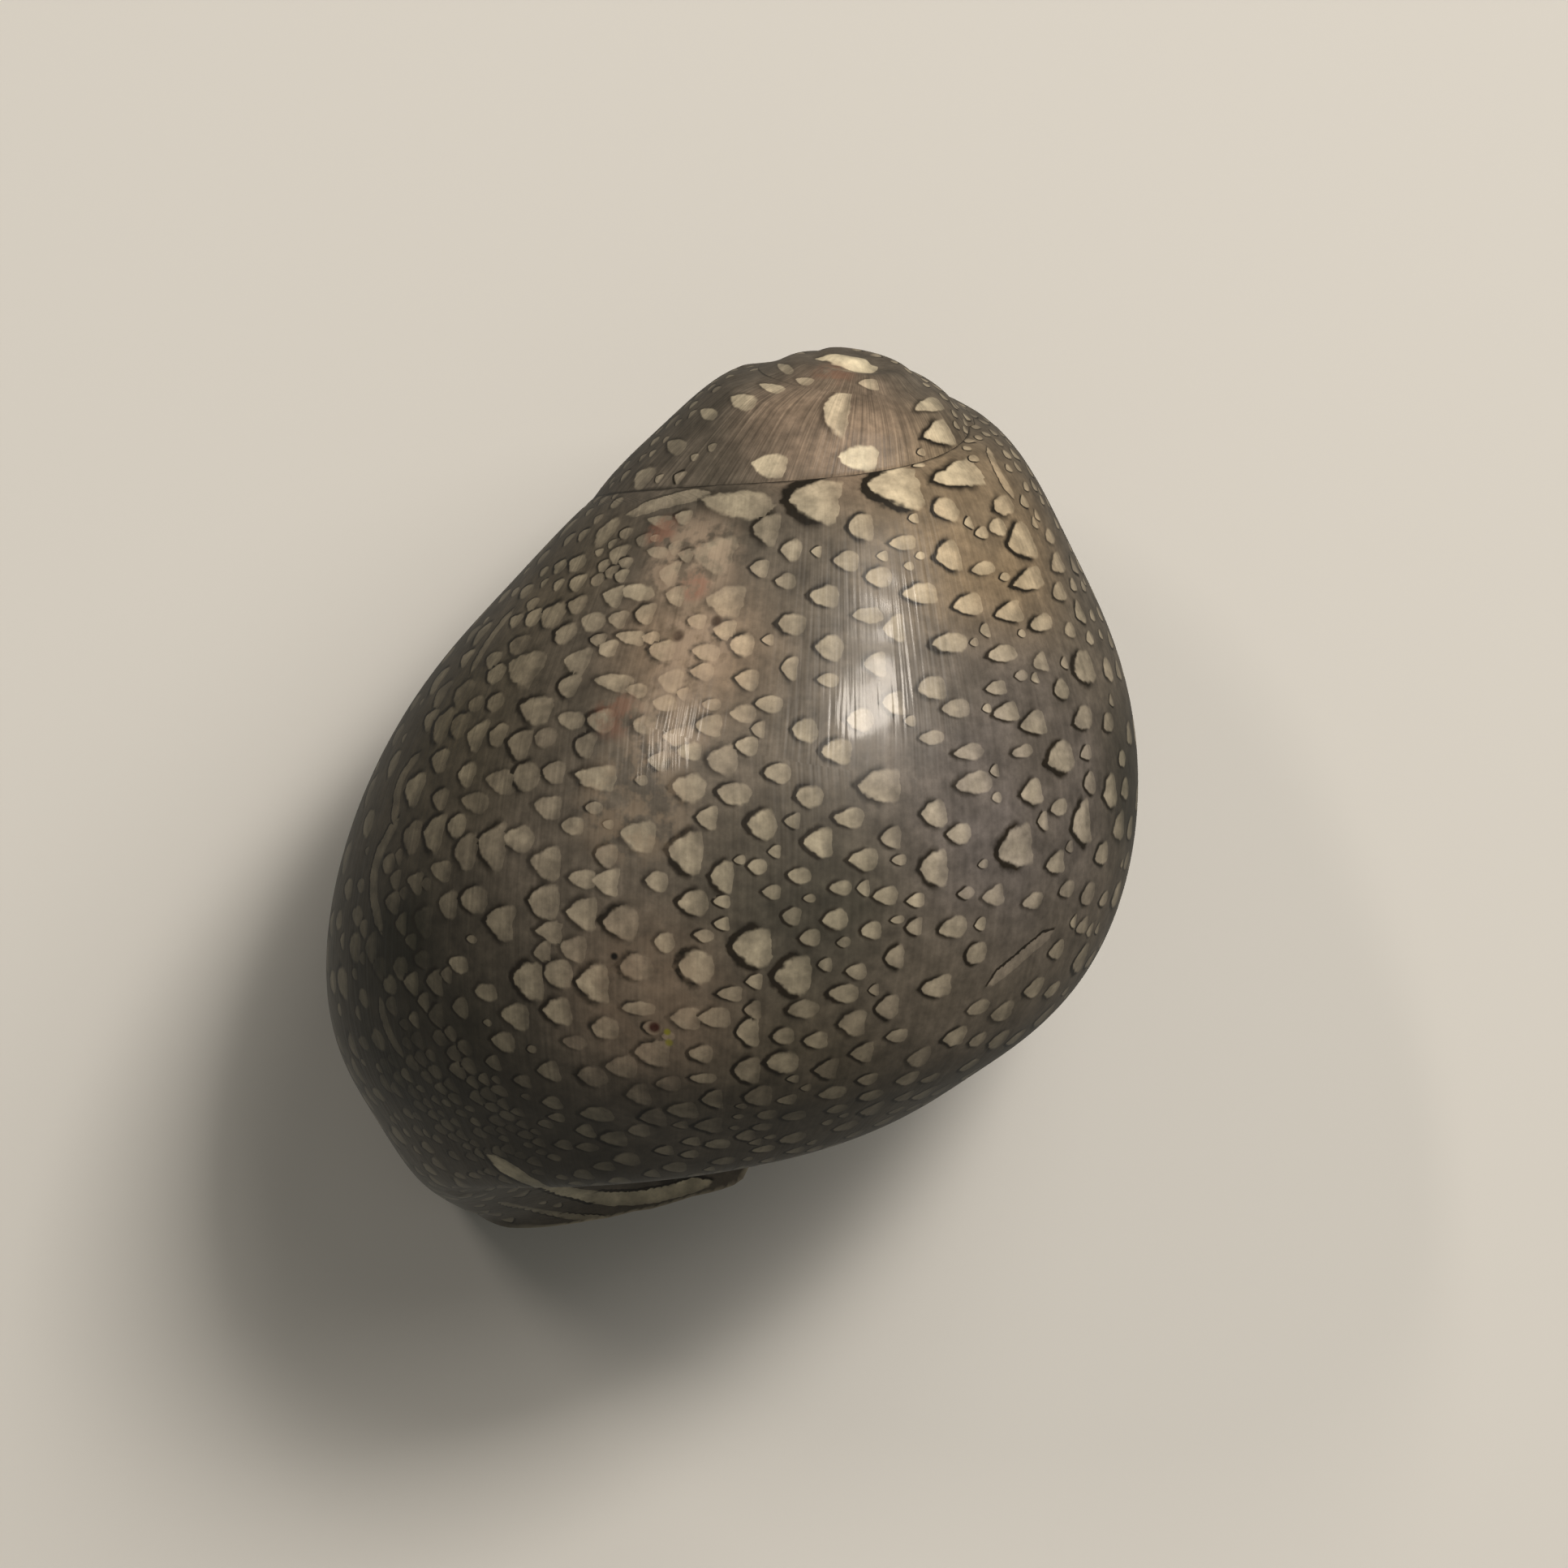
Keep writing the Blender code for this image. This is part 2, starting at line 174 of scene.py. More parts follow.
def combine(item: bpy.types.Object, other: bpy.types.Object, operation: str) -> None:
    """Join another shape with an object, or take it out, and keep the result as its mesh.

    Args:
        item: The object that is changed.
        other: The shape, which is used up.
        operation: Blender's name of the Boolean operation.
    """
    modifier = item.modifiers.new(operation.lower(), "BOOLEAN")
    modifier.operation = operation
    modifier.solver = "EXACT"
    modifier.object = other
    result = bpy.data.meshes.new_from_object(item.evaluated_get(bpy.context.evaluated_depsgraph_get()))
    item.modifiers.clear()
    item.data = result
    bpy.data.objects.remove(other, do_unlink=True)


def wrap(points: Shape) -> Shape:
    """Turn loose points into the closed hull around them.

    Args:
        points: A mesh of which only the vertices count.

    Returns:
        The same mesh as a closed hull.
    """
    bmesh.ops.convex_hull(points, input=points.verts)
    bmesh.ops.delete(points, geom=[v for v in points.verts if not v.link_faces], context="VERTS")
    bmesh.ops.recalc_face_normals(points, faces=points.faces)
    return points


def rub(work: Shape, points: list[bmesh.types.BMVert], passes: int) -> None:
    """Smooth some points of a mesh.

    Args:
        work: The mesh.
        points: The points.
        passes: How many times they are smoothed.
    """
    for _ in range(passes):
        bmesh.ops.smooth_vert(work, verts=points, factor=0.5,
                              use_axis_x=True, use_axis_y=True, use_axis_z=True)


def point_tree(points: list[Vector]) -> KDTree:
    """Make the tree that finds the nearest of some points.

    Args:
        points: The points, found again by their number.

    Returns:
        The tree.
    """
    tree = KDTree(len(points))
    for index, point in enumerate(points):
        tree.insert(point, index)
    tree.balance()
    return tree


def surface_tree(mesh: bpy.types.Mesh) -> BVHTree:
    """Make the tree that finds places on a mesh.

    Args:
        mesh: The mesh.

    Returns:
        The tree.
    """
    work = bmesh.new()
    work.from_mesh(mesh)
    tree = BVHTree.FromBMesh(work)
    work.free()
    return tree


def mean_growth(mesh: bpy.types.Mesh) -> list[float]:
    """Read the mean growth angle of each face."""
    layer = mesh.uv_layers[GROWTH_MAP].data
    return [sum(layer[loop].uv.x for loop in face.loop_indices) / face.loop_total for face in mesh.polygons]


class Layer(Enum):
    """The two nearest tongues of a face: the attributes of where a corner lies in each, and of its look."""

    NEAREST = ("tongue_place_nearest", "tongue_look_nearest")
    NEXT = ("tongue_place_next", "tongue_look_next")


class Coat(Enum):
    """The material places of the shell's mesh."""

    OUTSIDE = 0
    INSIDE = 1


class Grain(Enum):
    """The shell's noises: the real size in mm, the steps of detail and how rough they are."""

    OUTLINE = (0.26, 2.0, 0.5)
    TONGUE = (0.45, 3.0, 0.5)
    CLOUDS = (2.2, 5.0, 0.5)
    MOTTLE = (0.16, 3.0, 0.65)
    BLOTCH = (0.5, 2.0, 0.5)
    HAZE = (0.42, 3.0, 0.6)
    CALLUS = (1.4, 4.0, 0.5)
    UNEVEN = (0.55, 0.0, 0.5)
    PORCELAIN = (2.0, 4.0, 0.5)

    def inputs(self, spot: Socket) -> dict:
        """Give a noise node's inputs for this grain."""
        size, detail, roughness = self.value
        return {"Vector": spot, "Scale": 1.0 / (size * MM), "Detail": detail, "Roughness": roughness}


@dataclass
class GrowthLaw:
    """The law that the shell grew by, with the sizes and names of the solid's source."""

    radius: float = 5.01 * MM
    drop: float = 11.18 * MM
    widening: float = 1.82
    descent: float = 2.055
    half_width: Pair = (0.808, 0.582)
    half_height: Pair = (0.793, 0.660)
    lean: Pair = (8.2 * DEG, 9.9 * DEG)
    ovalness: float = -0.011
    shoulder_slope: float = -0.064
    flattened_inside: float = 0.082
    young_until: float = -216.0 * DEG
    adult_from: float = 72.0 * DEG
    turns: int = 4
    swelling_turns: float = 0.9
    least_swelling: float = 1e-6
    apex_height: float = -0.24 * MM
    lip_back_end: float = 96.0 * DEG
    lip_front_end: float = 92.0 * DEG
    lip_rounding: float = 8.0 * DEG
    lip_search_starts: float = -30.0 * DEG
    lean_starts: float = -175.0 * DEG
    highest_suture: float = 112.0 * DEG
    band_end: Pair = (2.0 * DEG, 66.0 * DEG)
    suture_search: Pair = (55.0 * DEG, 205.0 * DEG)
    suture_steps: int = 60
    halvings: int = 28
    aperture_distance: float = 6.7 * MM
    aperture_tilt: float = 9.0 * DEG
    base_closes_at: float = -14.6 * MM
    base_turns_at: float = -112.0 * DEG
    base_ends_at: float = -164.0 * DEG
    base_gentleness: float = 1.5
    columella_end: tuple[float, float, float] = (1.1 * MM, -16.0 * MM, 0.0)
    columella_leaves: float = -10.0 * DEG
    rounding_slack: float = 1e-9
    steps: int = 288
    spire_columns: int = 24
    body_columns: int = 120
    axis_place: Vector = field(default_factory=Vector)

    def __post_init__(self) -> None:
        """Lay out the growth angles and solve where the whorls meet at each of them."""
        self.start = self.lip_back_end - self.turns * FULL_TURN
        self.whorl_start = self.lip_back_end - FULL_TURN
        self.step = FULL_TURN / self.steps
        self.last_row = self.turns * self.steps
        self.columns = self.spire_columns + self.body_columns
        beyond = math.ceil(2.0 * self.lip_rounding / self.step)
        self.table = [self.solve_edges(self.start + row * self.step) for row in range(self.last_row + beyond)]
        self.lip = [self.lip_angle(column) for column in range(self.columns)] + [self.lip_back_end]

    def sizes(self, angle: float) -> tuple[float, float, float, float, float]:
        """Give the section's place and size at a growth angle.

        Args:
            angle: The growth angle in radians.

        Returns:
            The centre's radius and drop, half the width and the height, and the lean.
        """
        grown = smooth(angle, self.young_until, self.adult_from)
        radius = self.radius * self.widening ** (angle / FULL_TURN)
        drop = self.drop * self.descent ** (angle / FULL_TURN)
        return (radius, drop, radius * mix(*self.half_width, grown),
                drop * mix(*self.half_height, grown), mix(*self.lean, grown))

    def roundness(self, turn: float) -> float:
        """Return how far the section's outline is from an ellipse at a turn."""
        return (1.0 + self.ovalness * math.cos(2.0 * turn) + self.shoulder_slope * math.sin(3.0 * turn)
                + self.flattened_inside * math.cos(3.0 * turn))

    def swelling(self, angle: float) -> float:
        """Return how much of its full size the section has in the first whorl."""
        return smooth(angle, self.start, self.start + self.swelling_turns * FULL_TURN)

    def section_point(self, angle: float, turn: float, thinner: float = 0.0) -> Pair:
        """Give a point of the section's outline.

        Args:
            angle: The growth angle.
            turn: The turn round the section, 0 outwards and a quarter turn up.
            thinner: How far inside the outline the point lies.

        Returns:
            The distance from the axis and the height along it.
        """
        radius, drop, half_width, half_height, lean = self.sizes(angle)
        across = (half_width - thinner) * self.roundness(turn) * math.cos(turn)
        along = (half_height - thinner) * self.roundness(turn) * math.sin(turn)
        out = radius + across * math.cos(lean) - along * math.sin(lean)
        up = -drop + across * math.sin(lean) + along * math.cos(lean)
        size = self.swelling(angle)
        return out * size, mix(self.apex_height, up, size)

    def turn_of_point(self, angle: float, out: float, up: float) -> Pair:
        """Find where a point lies in the section of a growth angle.

        Args:
            angle: The growth angle.
            out: The point's distance from the axis.
            up: Its height along the axis.

        Returns:
            Its turn, and how far outside the outline it is as a share.
        """
        radius, drop, half_width, half_height, lean = self.sizes(angle)
        size = max(self.swelling(angle), self.least_swelling)
        right = out / size - radius
        above = self.apex_height + (up - self.apex_height) / size + drop
        across = (right * math.cos(lean) + above * math.sin(lean)) / half_width
        along = (above * math.cos(lean) - right * math.sin(lean)) / half_height
        turn = math.atan2(along, across)
        return turn, math.hypot(across, along) / self.roundness(turn) - 1.0

    def halve(self, holds: Callable[[float], bool], before: float, after: float) -> float:
        """Close in on the number up to which a test holds.

        Args:
            holds: The test.
            before: A number for which it holds.
            after: One for which it doesn't.

        Returns:
            The last number for which it holds.
        """
        for _ in range(self.halvings):
            middle = 0.5 * (before + after)
            before, after = (middle, after) if holds(middle) else (before, middle)
        return before

    def suture_turn(self, angle: float) -> float:
        """Find the turn at which a section goes under the whorl before it.

        Args:
            angle: The growth angle.

        Returns:
            The turn of the suture.
        """
        def clear(turn: float) -> bool:
            """Tell whether the section is outside the whorl before at a turn."""
            return self.turn_of_point(angle - FULL_TURN, *self.section_point(angle, turn))[1] > 0.0

        before = self.suture_search[0]
        for step in range(1, self.suture_steps + 1):
            after = mix(*self.suture_search, step / self.suture_steps)
            if not clear(after):
                break
            before = after
        return self.halve(clear, before, after)

    def solve_edges(self, angle: float) -> Pair:
        """Solve the turns of the upper suture and of the next whorl's suture.

        Args:
            angle: The growth angle.

        Returns:
            The two turns.
        """
        top = min(self.suture_turn(angle), self.highest_suture)
        after = angle + FULL_TURN
        middle = self.turn_of_point(angle, *self.section_point(after, self.suture_turn(after)))[0]
        return top, min(max(middle, self.band_end[0]), self.band_end[1])

    def edges(self, angle: float) -> Pair:
        """Read the two suture turns from the solved rows.

        Args:
            angle: Any growth angle.

        Returns:
            The two turns.
        """
        where = (angle - self.start) / self.step
        low = min(max(int(where), 0), len(self.table) - 2)
        return tuple(mix(*turns, where - low) for turns in zip(self.table[low], self.table[low + 1]))

    def place(self, angle: float, out: float, up: float) -> Vector:
        """Turn a place beside the axis into one in the frame.

        Args:
            angle: The growth angle, 0 to the left and a quarter turn less to the front.
            out: The distance from the axis.
            up: The height along the axis.

        Returns:
            The place in the frame, with the aperture on z = 0.
        """
        across = -out * math.cos(angle)
        behind = out * math.sin(angle)
        along = behind * math.sin(self.aperture_tilt) + up * math.cos(self.aperture_tilt)
        outward = behind * math.cos(self.aperture_tilt) - up * math.sin(self.aperture_tilt)
        return self.axis_place + Vector((across, along, self.aperture_distance - outward))

    @property
    def apex(self) -> Vector:
        """Give the tip of the spire."""
        return self.place(0.0, 0.0, self.apex_height)

    def centre(self, angle: float) -> Vector:
        """Give the middle of the section at a growth angle."""
        radius, drop = self.sizes(angle)[:2]
        return self.place(angle, radius, -drop)

    def closing(self, share: float) -> Vector:
        """Give the place that far along from where the base closes to the columella's end."""
        end = self.axis_place + Vector(self.columella_end)
        return self.place(0.0, 0.0, self.base_closes_at).lerp(end, share)

    def base_place(self, angle: float) -> Vector:
        """Give the point in which the base closes at a growth angle."""
        share = portion(angle, self.columella_leaves, self.lip_back_end)
        return self.closing(math.floor(share * self.spire_columns + self.rounding_slack) / self.spire_columns)

    def base_share(self, turn: float) -> float:
        """Return how far a turn of the section has closed towards the base point."""
        return portion(turn, self.base_turns_at, self.base_ends_at) ** self.base_gentleness

    def turn_of_column(self, angle: float, column: float) -> float:
        """Give the turn of a column.

        Args:
            angle: The growth angle.
            column: The column, counted from the upper suture to the base.

        Returns:
            The turn round the section.
        """
        top, middle = self.edges(angle)
        if column <= self.spire_columns:
            return mix(top, middle, column / self.spire_columns)
        return mix(middle, self.base_ends_at, (column - self.spire_columns) / self.body_columns)

    def strip_place(self, angle: float, column: float, row_angle: float | None = None) -> Vector:
        """Give a place on the outside.

        Args:
            angle: The growth angle, leaned as the growth line is.
            column: The column, counted from the upper suture.
            row_angle: The growth angle of the line's upper end, where it differs.

        Returns:
            The place in the frame.
        """
        turn = self.turn_of_column(angle, column)
        point = self.place(angle, *self.section_point(angle, turn))
        if column <= self.spire_columns:
            return point
        return point.lerp(self.base_place(angle if row_angle is None else row_angle), self.base_share(turn))

    def lip_angle(self, column: int) -> float:
        """Find the growth angle at which a column reaches the aperture's plane.

        Args:
            column: The column, counted from the upper suture.

        Returns:
            The growth angle, rounded off where the lip's outline turns.
        """
        def above(angle: float) -> bool:
            """Tell whether the column is still above the plane."""
            return self.strip_place(angle, column).z > 0.0

        latest = mix(self.lip_back_end, self.lip_front_end, smooth(column, 0, self.columns))
        last = self.lip_back_end + self.lip_rounding
        if above(last):
            return latest
        lip = self.halve(above, self.lip_search_starts, last)
        overlap = max(self.lip_rounding - abs(lip - latest), 0.0)
        return min(lip, latest) - overlap ** 2 / (4.0 * self.lip_rounding)

    def leaned(self, angle: float, column: float) -> float:
        """Lean a growth angle so that the last growth line lies along the lip.

        Args:
            angle: The growth angle at the suture.
            column: The column, counted from the upper suture.

        Returns:
            The growth angle of the same line at the column.
        """
        low = min(int(column), self.columns - 1)
        lip = mix(self.lip[low], self.lip[low + 1], column - low)
        return angle + (lip - self.lip_back_end) * smooth(angle, self.lean_starts, self.lip_back_end)

    def split(self, point: Vector) -> tuple[Vector, Vector]:
        """Split the way from the apex to a place.

        Args:
            point: The place.

        Returns:
            The part along the axis and the part away from it.
        """
        up = Vector((0.0, math.cos(self.aperture_tilt), math.sin(self.aperture_tilt)))
        from_apex = point - self.apex
        along = up * from_apex.dot(up)
        return along, from_apex - along

    def forward(self, point: Vector, normal: Vector) -> Vector:
        """Give the direction of growth along the surface.

        Args:
            point: A place on the outside.
            normal: The outward direction there.

        Returns:
            The unit direction in which the lip moved on.
        """
        along, beside = self.split(point)
        flow = beside.cross(Vector((0.0, math.cos(self.aperture_tilt), math.sin(self.aperture_tilt))))
        flow += beside * (math.log(self.widening) / FULL_TURN) + along * (math.log(self.descent) / FULL_TURN)
        return (flow - normal * flow.dot(normal)).normalized()


@dataclass
class OuterLayer:
    """The outside of the shell: spire, last whorl and the sheet behind the lip."""

    law: GrowthLaw
    cap_rows: int = 12
    cap_hollowing: float = 0.5
    cap_hollows_over: tuple[int, int] = (-12, 12)
    cap_flatness: float = 3.0
    first_row: int = 30
    weld: float = 1e-8
    clearance: float = 0.03 * MM
    places: dict[tuple[int, int], Vector] = field(default_factory=dict)

    def spire(self, row: int, column: int) -> Vector:
        """Give a grid point between a whorl's two sutures.

        Args:
            row: The row, counted from the apex.
            column: The column, counted from the upper suture.

        Returns:
            The place in the frame.
        """
        law, key = self.law, (row, column)
        if key not in self.places:
            if row < self.first_row or (column == 0 and row < law.steps + self.first_row):
                point = law.apex
            elif column == 0:
                point = self.spire(row - law.steps, law.spire_columns)
            else:
                point = law.strip_place(law.leaned(law.start + row * law.step, column), column)
                if row == law.last_row:
                    point.z = 0.0
            self.places[key] = point
        return self.places[key].copy()

    def body(self, row: int, column: int) -> Vector:
        """Give a grid point of the last whorl below the line of the suture.

        Args:
            row: The row, counted from the start of the last whorl.
            column: The column, counted from the line of the suture.

        Returns:
            The place in the frame.
        """
        law = self.law
        row += law.last_row - law.steps
        column += law.spire_columns
        angle = law.start + row * law.step
        if column == law.spire_columns:
            return self.spire(row, column)
        if column == law.columns:
            return law.base_place(angle)
        point = law.strip_place(law.leaned(angle, column), column, angle)
        if row == law.last_row:
            point.z = 0.0
        return point

    def cap_edges(self, index: int) -> tuple[Vector, Vector]:
        """Follow the hidden start of the last whorl and the lip from the suture to the columella's end.

        Args:
            index: The column, counted from the suture.

        Returns:
            The place on each.
        """
        law = self.law
        start = self.body(0, index) if index <= law.body_columns \
            else law.closing((index - law.body_columns) / law.spire_columns)
        end = self.spire(law.last_row, index) if index <= law.spire_columns \
            else self.body(law.steps, index - law.spire_columns)
        return start, end

    def cap(self, row: int, index: int) -> Vector:
        """Give a grid point of the sheet between the hidden start and the lip.

        Args:
            row: The row, counted from the hidden start.
            index: The column, counted from the suture.

        Returns:
            The place in the frame.
        """
        law = self.law
        if index == 0:
            return self.spire(law.last_row, 0)
        if index == law.columns:
            return law.closing(1.0)
        start, end = self.cap_edges(index)
        if row in (0, self.cap_rows):
            return end if row else start
        share = row / self.cap_rows
        point = start.lerp(end, share)
        low, high = (law.body_columns + edge for edge in self.cap_hollows_over)
        hollowed = 4.0 * share * (1.0 - share) * smooth(index, low, high)
        point.y += self.cap_hollowing * hollowed * (end - start).length
        point.z = start.z * (1.0 - share) ** self.cap_flatness
        return point

    def sheet(self, rows: int, columns: int, first_row: int, first_column: int,
              where: Callable[[int, int], Vector]) -> Shape:
        """Bend a flat grid into a grown sheet, with its growth angles and depths as UV maps.

        Args:
            rows: Steps along the growth.
            columns: Steps from suture to base.
            first_row: The row of the whole shell at which the grid starts.
            first_column: The column at which it starts.
            where: The method that gives each grid point its place.

        Returns:
            The sheet.
        """
        made = bmesh.new()
        bmesh.ops.create_grid(made, x_segments=columns, y_segments=rows, size=0.5)
        cells = {v: (round((v.co.y + 0.5) * rows), round((v.co.x + 0.5) * columns)) for v in made.verts}
        points: dict[int, dict[int, Vector]] = {}
        for vertex, (row, column) in cells.items():
            vertex.co = where(row, column)
            points.setdefault(row, {})[column] = vertex.co
        depths = {row: [0.0, *itertools.accumulate(
            (line[column + 1] - line[column]).length for column in range(columns))]
            for row, line in points.items()}
        growth = made.loops.layers.uv.new(GROWTH_MAP)
        sutures = made.loops.layers.uv.new(SUTURE_MAP)
        hidden = where == self.cap
        last_open = rows - self.law.steps if where == self.spire else -1
        for loop in itertools.chain.from_iterable(face.loops for face in made.faces):
            row, column = cells[loop.vert]
            angle = self.law.start + (row + first_row) * self.law.step
            depth, whole = depths[row][column], depths[row][columns]
            loop[growth].uv = (self.law.lip_back_end if hidden else angle, depth / MM)
            loop[sutures].uv = (depth / MM if first_column == 0 and not hidden else NO_SUTURE,
                                (whole - depth) / MM if row <= last_open else NO_SUTURE)
        return made

    def build(self) -> Shape:
        """Make the three sheets and weld them into one surface.

        Returns:
            The closed outside.
        """
        law = self.law
        whole = bmesh.new()
        for grid in ((law.last_row, law.spire_columns, 0, 0, self.spire),
                     (law.steps, law.body_columns, law.last_row - law.steps, law.spire_columns, self.body),
                     (self.cap_rows, law.columns, law.last_row, 0, self.cap)):
            sheet = self.sheet(*grid)
            passing = bpy.data.meshes.new("sheet")
            sheet.to_mesh(passing)
            sheet.free()
            whole.from_mesh(passing)
            bpy.data.meshes.remove(passing)
        bmesh.ops.remove_doubles(whole, verts=whole.verts, dist=self.weld)
        bmesh.ops.recalc_face_normals(whole, faces=whole.faces)
        for vertex in whole.verts:
            if 0.0 != vertex.co.z < self.clearance:
                vertex.co.z = self.clearance
        return whole


@dataclass
class BaseFilling:
    """Shell laid down under the last whorl, which rounds the base off over the axis."""

    law: GrowthLaw
    least_share: float = 0.02
    last_growth: float = 45.0 * DEG
    inset: float = 0.05 * MM
    column_step: int = 3
    row_step: int = 4

    def build(self, outer: OuterLayer) -> Shape:
        """Wrap a hull round the whorl's underside where it turns in to the axis.

        Args:
            outer: The outside that the filling joins.

        Returns:
            The closed filling.
        """
        law = self.law
        filling = bmesh.new()
        for row in range(0, round((self.last_growth - law.whorl_start) / law.step), self.row_step):
            angle = law.whorl_start + row * law.step
            for column in range(law.spire_columns + 1, law.columns + 1, self.column_step):
                if law.base_share(law.turn_of_column(angle, column)) > self.least_share:
                    point = outer.body(row, column - law.spire_columns)
                    point += (law.centre(angle) - point).normalized() * self.inset
                    filling.verts.new((point.x, point.y, max(point.z, 0.0)))
        return wrap(filling)


@dataclass
class CallusPad:
    """The cream pad that the shell rests on, beside the aperture."""

    law: GrowthLaw
    centre: Pair = (0.4 * MM, -10.5 * MM)
    half_size: Pair = (2.7 * MM, 5.6 * MM)
    sides: int = 96
    joins_until: float = -196.0 * DEG
    joins_from: float = -20.0 * DEG
    depth: float = 4.2 * MM
    overlap: float = 0.4 * MM
    corners: tuple[Pair, ...] = (
        (-1.7 * MM, -4.4 * MM), (-2.3 * MM, -14.9 * MM), (-2.2 * MM, -15.8 * MM), (1.1 * MM, -16.0 * MM))
    column_step: int = 5
    row_step: int = 4

    def build(self, outer: OuterLayer) -> Shape:
        """Wrap a hull round the pad's flat foot and the places where it joins the whorl.

        Args:
            outer: The outside that the pad joins.

        Returns:
            The closed pad.
        """
        law = self.law
        pad = bmesh.new()
        bmesh.ops.create_circle(pad, cap_ends=False, segments=self.sides, radius=1.0)
        for vertex in pad.verts:
            vertex.co = law.axis_place + Vector((self.centre[0] + vertex.co.x * self.half_size[0],
                                                 self.centre[1] + vertex.co.y * self.half_size[1], 0.0))
        for corner in self.corners:
            pad.verts.new(law.axis_place + Vector((*corner, 0.0)))
        inside = []
        rows = round((self.joins_until - law.whorl_start) / law.step)
        for row in range(0, rows + 1, self.row_step):
            angle = law.whorl_start + row * law.step
            middle = law.edges(angle)[1]
            first = int((middle - self.joins_from) / (middle - law.base_ends_at) * law.body_columns)
            for column in range(first, law.body_columns, self.column_step):
                point = outer.body(row, column)
                inside.append(point + (law.centre(angle) - point).normalized() * self.overlap)
        inside += [outer.body(row, law.body_columns) + Vector((-self.overlap, self.overlap, 0.0))
                   for row in range(rows, law.steps, self.row_step)]
        for point in inside:
            if point.z < self.depth:
                pad.verts.new((point.x, point.y, max(point.z, 0.0)))
        return wrap(pad)


@dataclass
class LivingChamber:
    """The space inside the last whorl, with the deck left standing across its inner half."""

    law: GrowthLaw
    wall: float = 0.75 * MM
    lip_wall: float = 0.4 * MM
    lip_thins_over: float = 3.0 * MM
    suture_wall: float = 1.4 * MM
    suture_side: float = 85.0 * DEG
    suture_reach: float = 60.0 * DEG
    starts: float = -165.0 * DEG
    ends: float = 84.0 * DEG
    swells: Pair = (-175.5 * DEG, -95.0 * DEG)
    inside: float = -248.0 * DEG
    follows: Pair = (-60.0 * DEG, 30.0 * DEG)
    base_walls: float = 2.0
    rings: int = 66
    sides: int = 64
    deck_thickness: float = 0.9 * MM
    deck_sink: float = 0.4 * MM
    deck_edge_back: float = -1.8 * MM
    deck_edge_front: float = -2.6 * MM
    deck_slant: float = 0.3 * MM
    teeth: int = 5
    teeth_along: Pair = (-9.0 * MM, -12.6 * MM)
    tooth_radius: float = 0.34 * MM
    tooth_shape: tuple[float, float, float] = (1.3, 0.85, 1.0)
    tooth_sink: float = 0.8
    tooth_height: float = 0.45
    largest_tooth: float = 0.8
    smallest_tooth: float = 0.55
    tooth_fineness: int = 3

    def __post_init__(self) -> None:
        """List the turns of the section along the lip with their growth angles."""
        law = self.law
        self.lip = [(law.turn_of_column(law.lip[column], column), min(law.lip[column], self.ends))
                    for column in range(law.columns)] + [(self.inside, self.ends)]

    def lip_at(self, turn: float) -> float:
        """Read the lip's growth angle at a turn.

        Args:
            turn: The turn round the section.

        Returns:
            The growth angle of the lip there.
        """
        for (first_turn, first), (second_turn, second) in zip(self.lip, self.lip[1:]):
            if second_turn <= turn < first_turn:
                return mix(first, second, (turn - first_turn) / (second_turn - first_turn))
        return self.ends

    def wall_place(self, row_angle: float, turn: float) -> Vector:
        """Give a point of the chamber's wall.

        Args:
            row_angle: The growth angle before leaning.
            turn: The turn round the section.

        Returns:
            The place in the frame.
        """
        law = self.law
        leaning = smooth(row_angle, law.lean_starts, law.lip_back_end)
        angle = row_angle + (self.lip_at(turn) - law.lip_back_end) * leaning
        depth = law.place(angle, *law.section_point(angle, turn)).z
        wall = mix(self.lip_wall, self.wall, smooth(depth, 0.0, self.lip_thins_over))
        from_side = abs((turn - self.suture_side + math.pi) % FULL_TURN - math.pi)
        beside_suture = smooth(-from_side, -self.suture_reach, 0.0)
        wall += self.suture_wall * beside_suture * smooth(row_angle, 0.0, law.lip_back_end)
        point = law.place(angle, *law.section_point(angle, turn, wall))
        centre = law.centre(angle)
        closing = (law.base_share(turn) * smooth(turn, self.inside, law.base_ends_at)
                   * smooth(row_angle, *self.follows))
        closed = law.base_place(row_angle)
        closed += (centre - closed).normalized() * self.base_walls * wall
        return centre.lerp(point.lerp(closed, closing), smooth(row_angle, *self.swells))

    def build(self) -> Shape:
        """Bend a tube along the growth for the space itself.

        Returns:
            The closed space, reaching a wall's thickness below the table.
        """
        space = bmesh.new()
        bmesh.ops.create_cone(space, cap_ends=False, segments=self.sides, radius1=1.0, radius2=1.0, depth=1.0)
        long_edges = [e for e in space.edges if abs(e.verts[0].co.z - e.verts[1].co.z) > 0.5]
        bmesh.ops.subdivide_edges(space, edges=long_edges, cuts=self.rings, use_grid_fill=True)
        for vertex in space.verts:
            ring = round((vertex.co.z + 0.5) * (self.rings + 1))
            side = (math.atan2(vertex.co.y, vertex.co.x) / FULL_TURN) % 1.0
            turn = self.law.highest_suture - side * FULL_TURN
            share = min(ring / self.rings, 1.0)
            vertex.co = self.wall_place(mix(self.starts, self.law.lip_back_end, share), turn)
            if ring > self.rings:
                vertex.co.z = -self.wall
        bmesh.ops.holes_fill(space, edges=[e for e in space.edges if e.is_boundary], sides=self.sides)
        bmesh.ops.recalc_face_normals(space, faces=space.faces)
        for face in space.faces:
            face.material_index = Coat.INSIDE.value
        return space

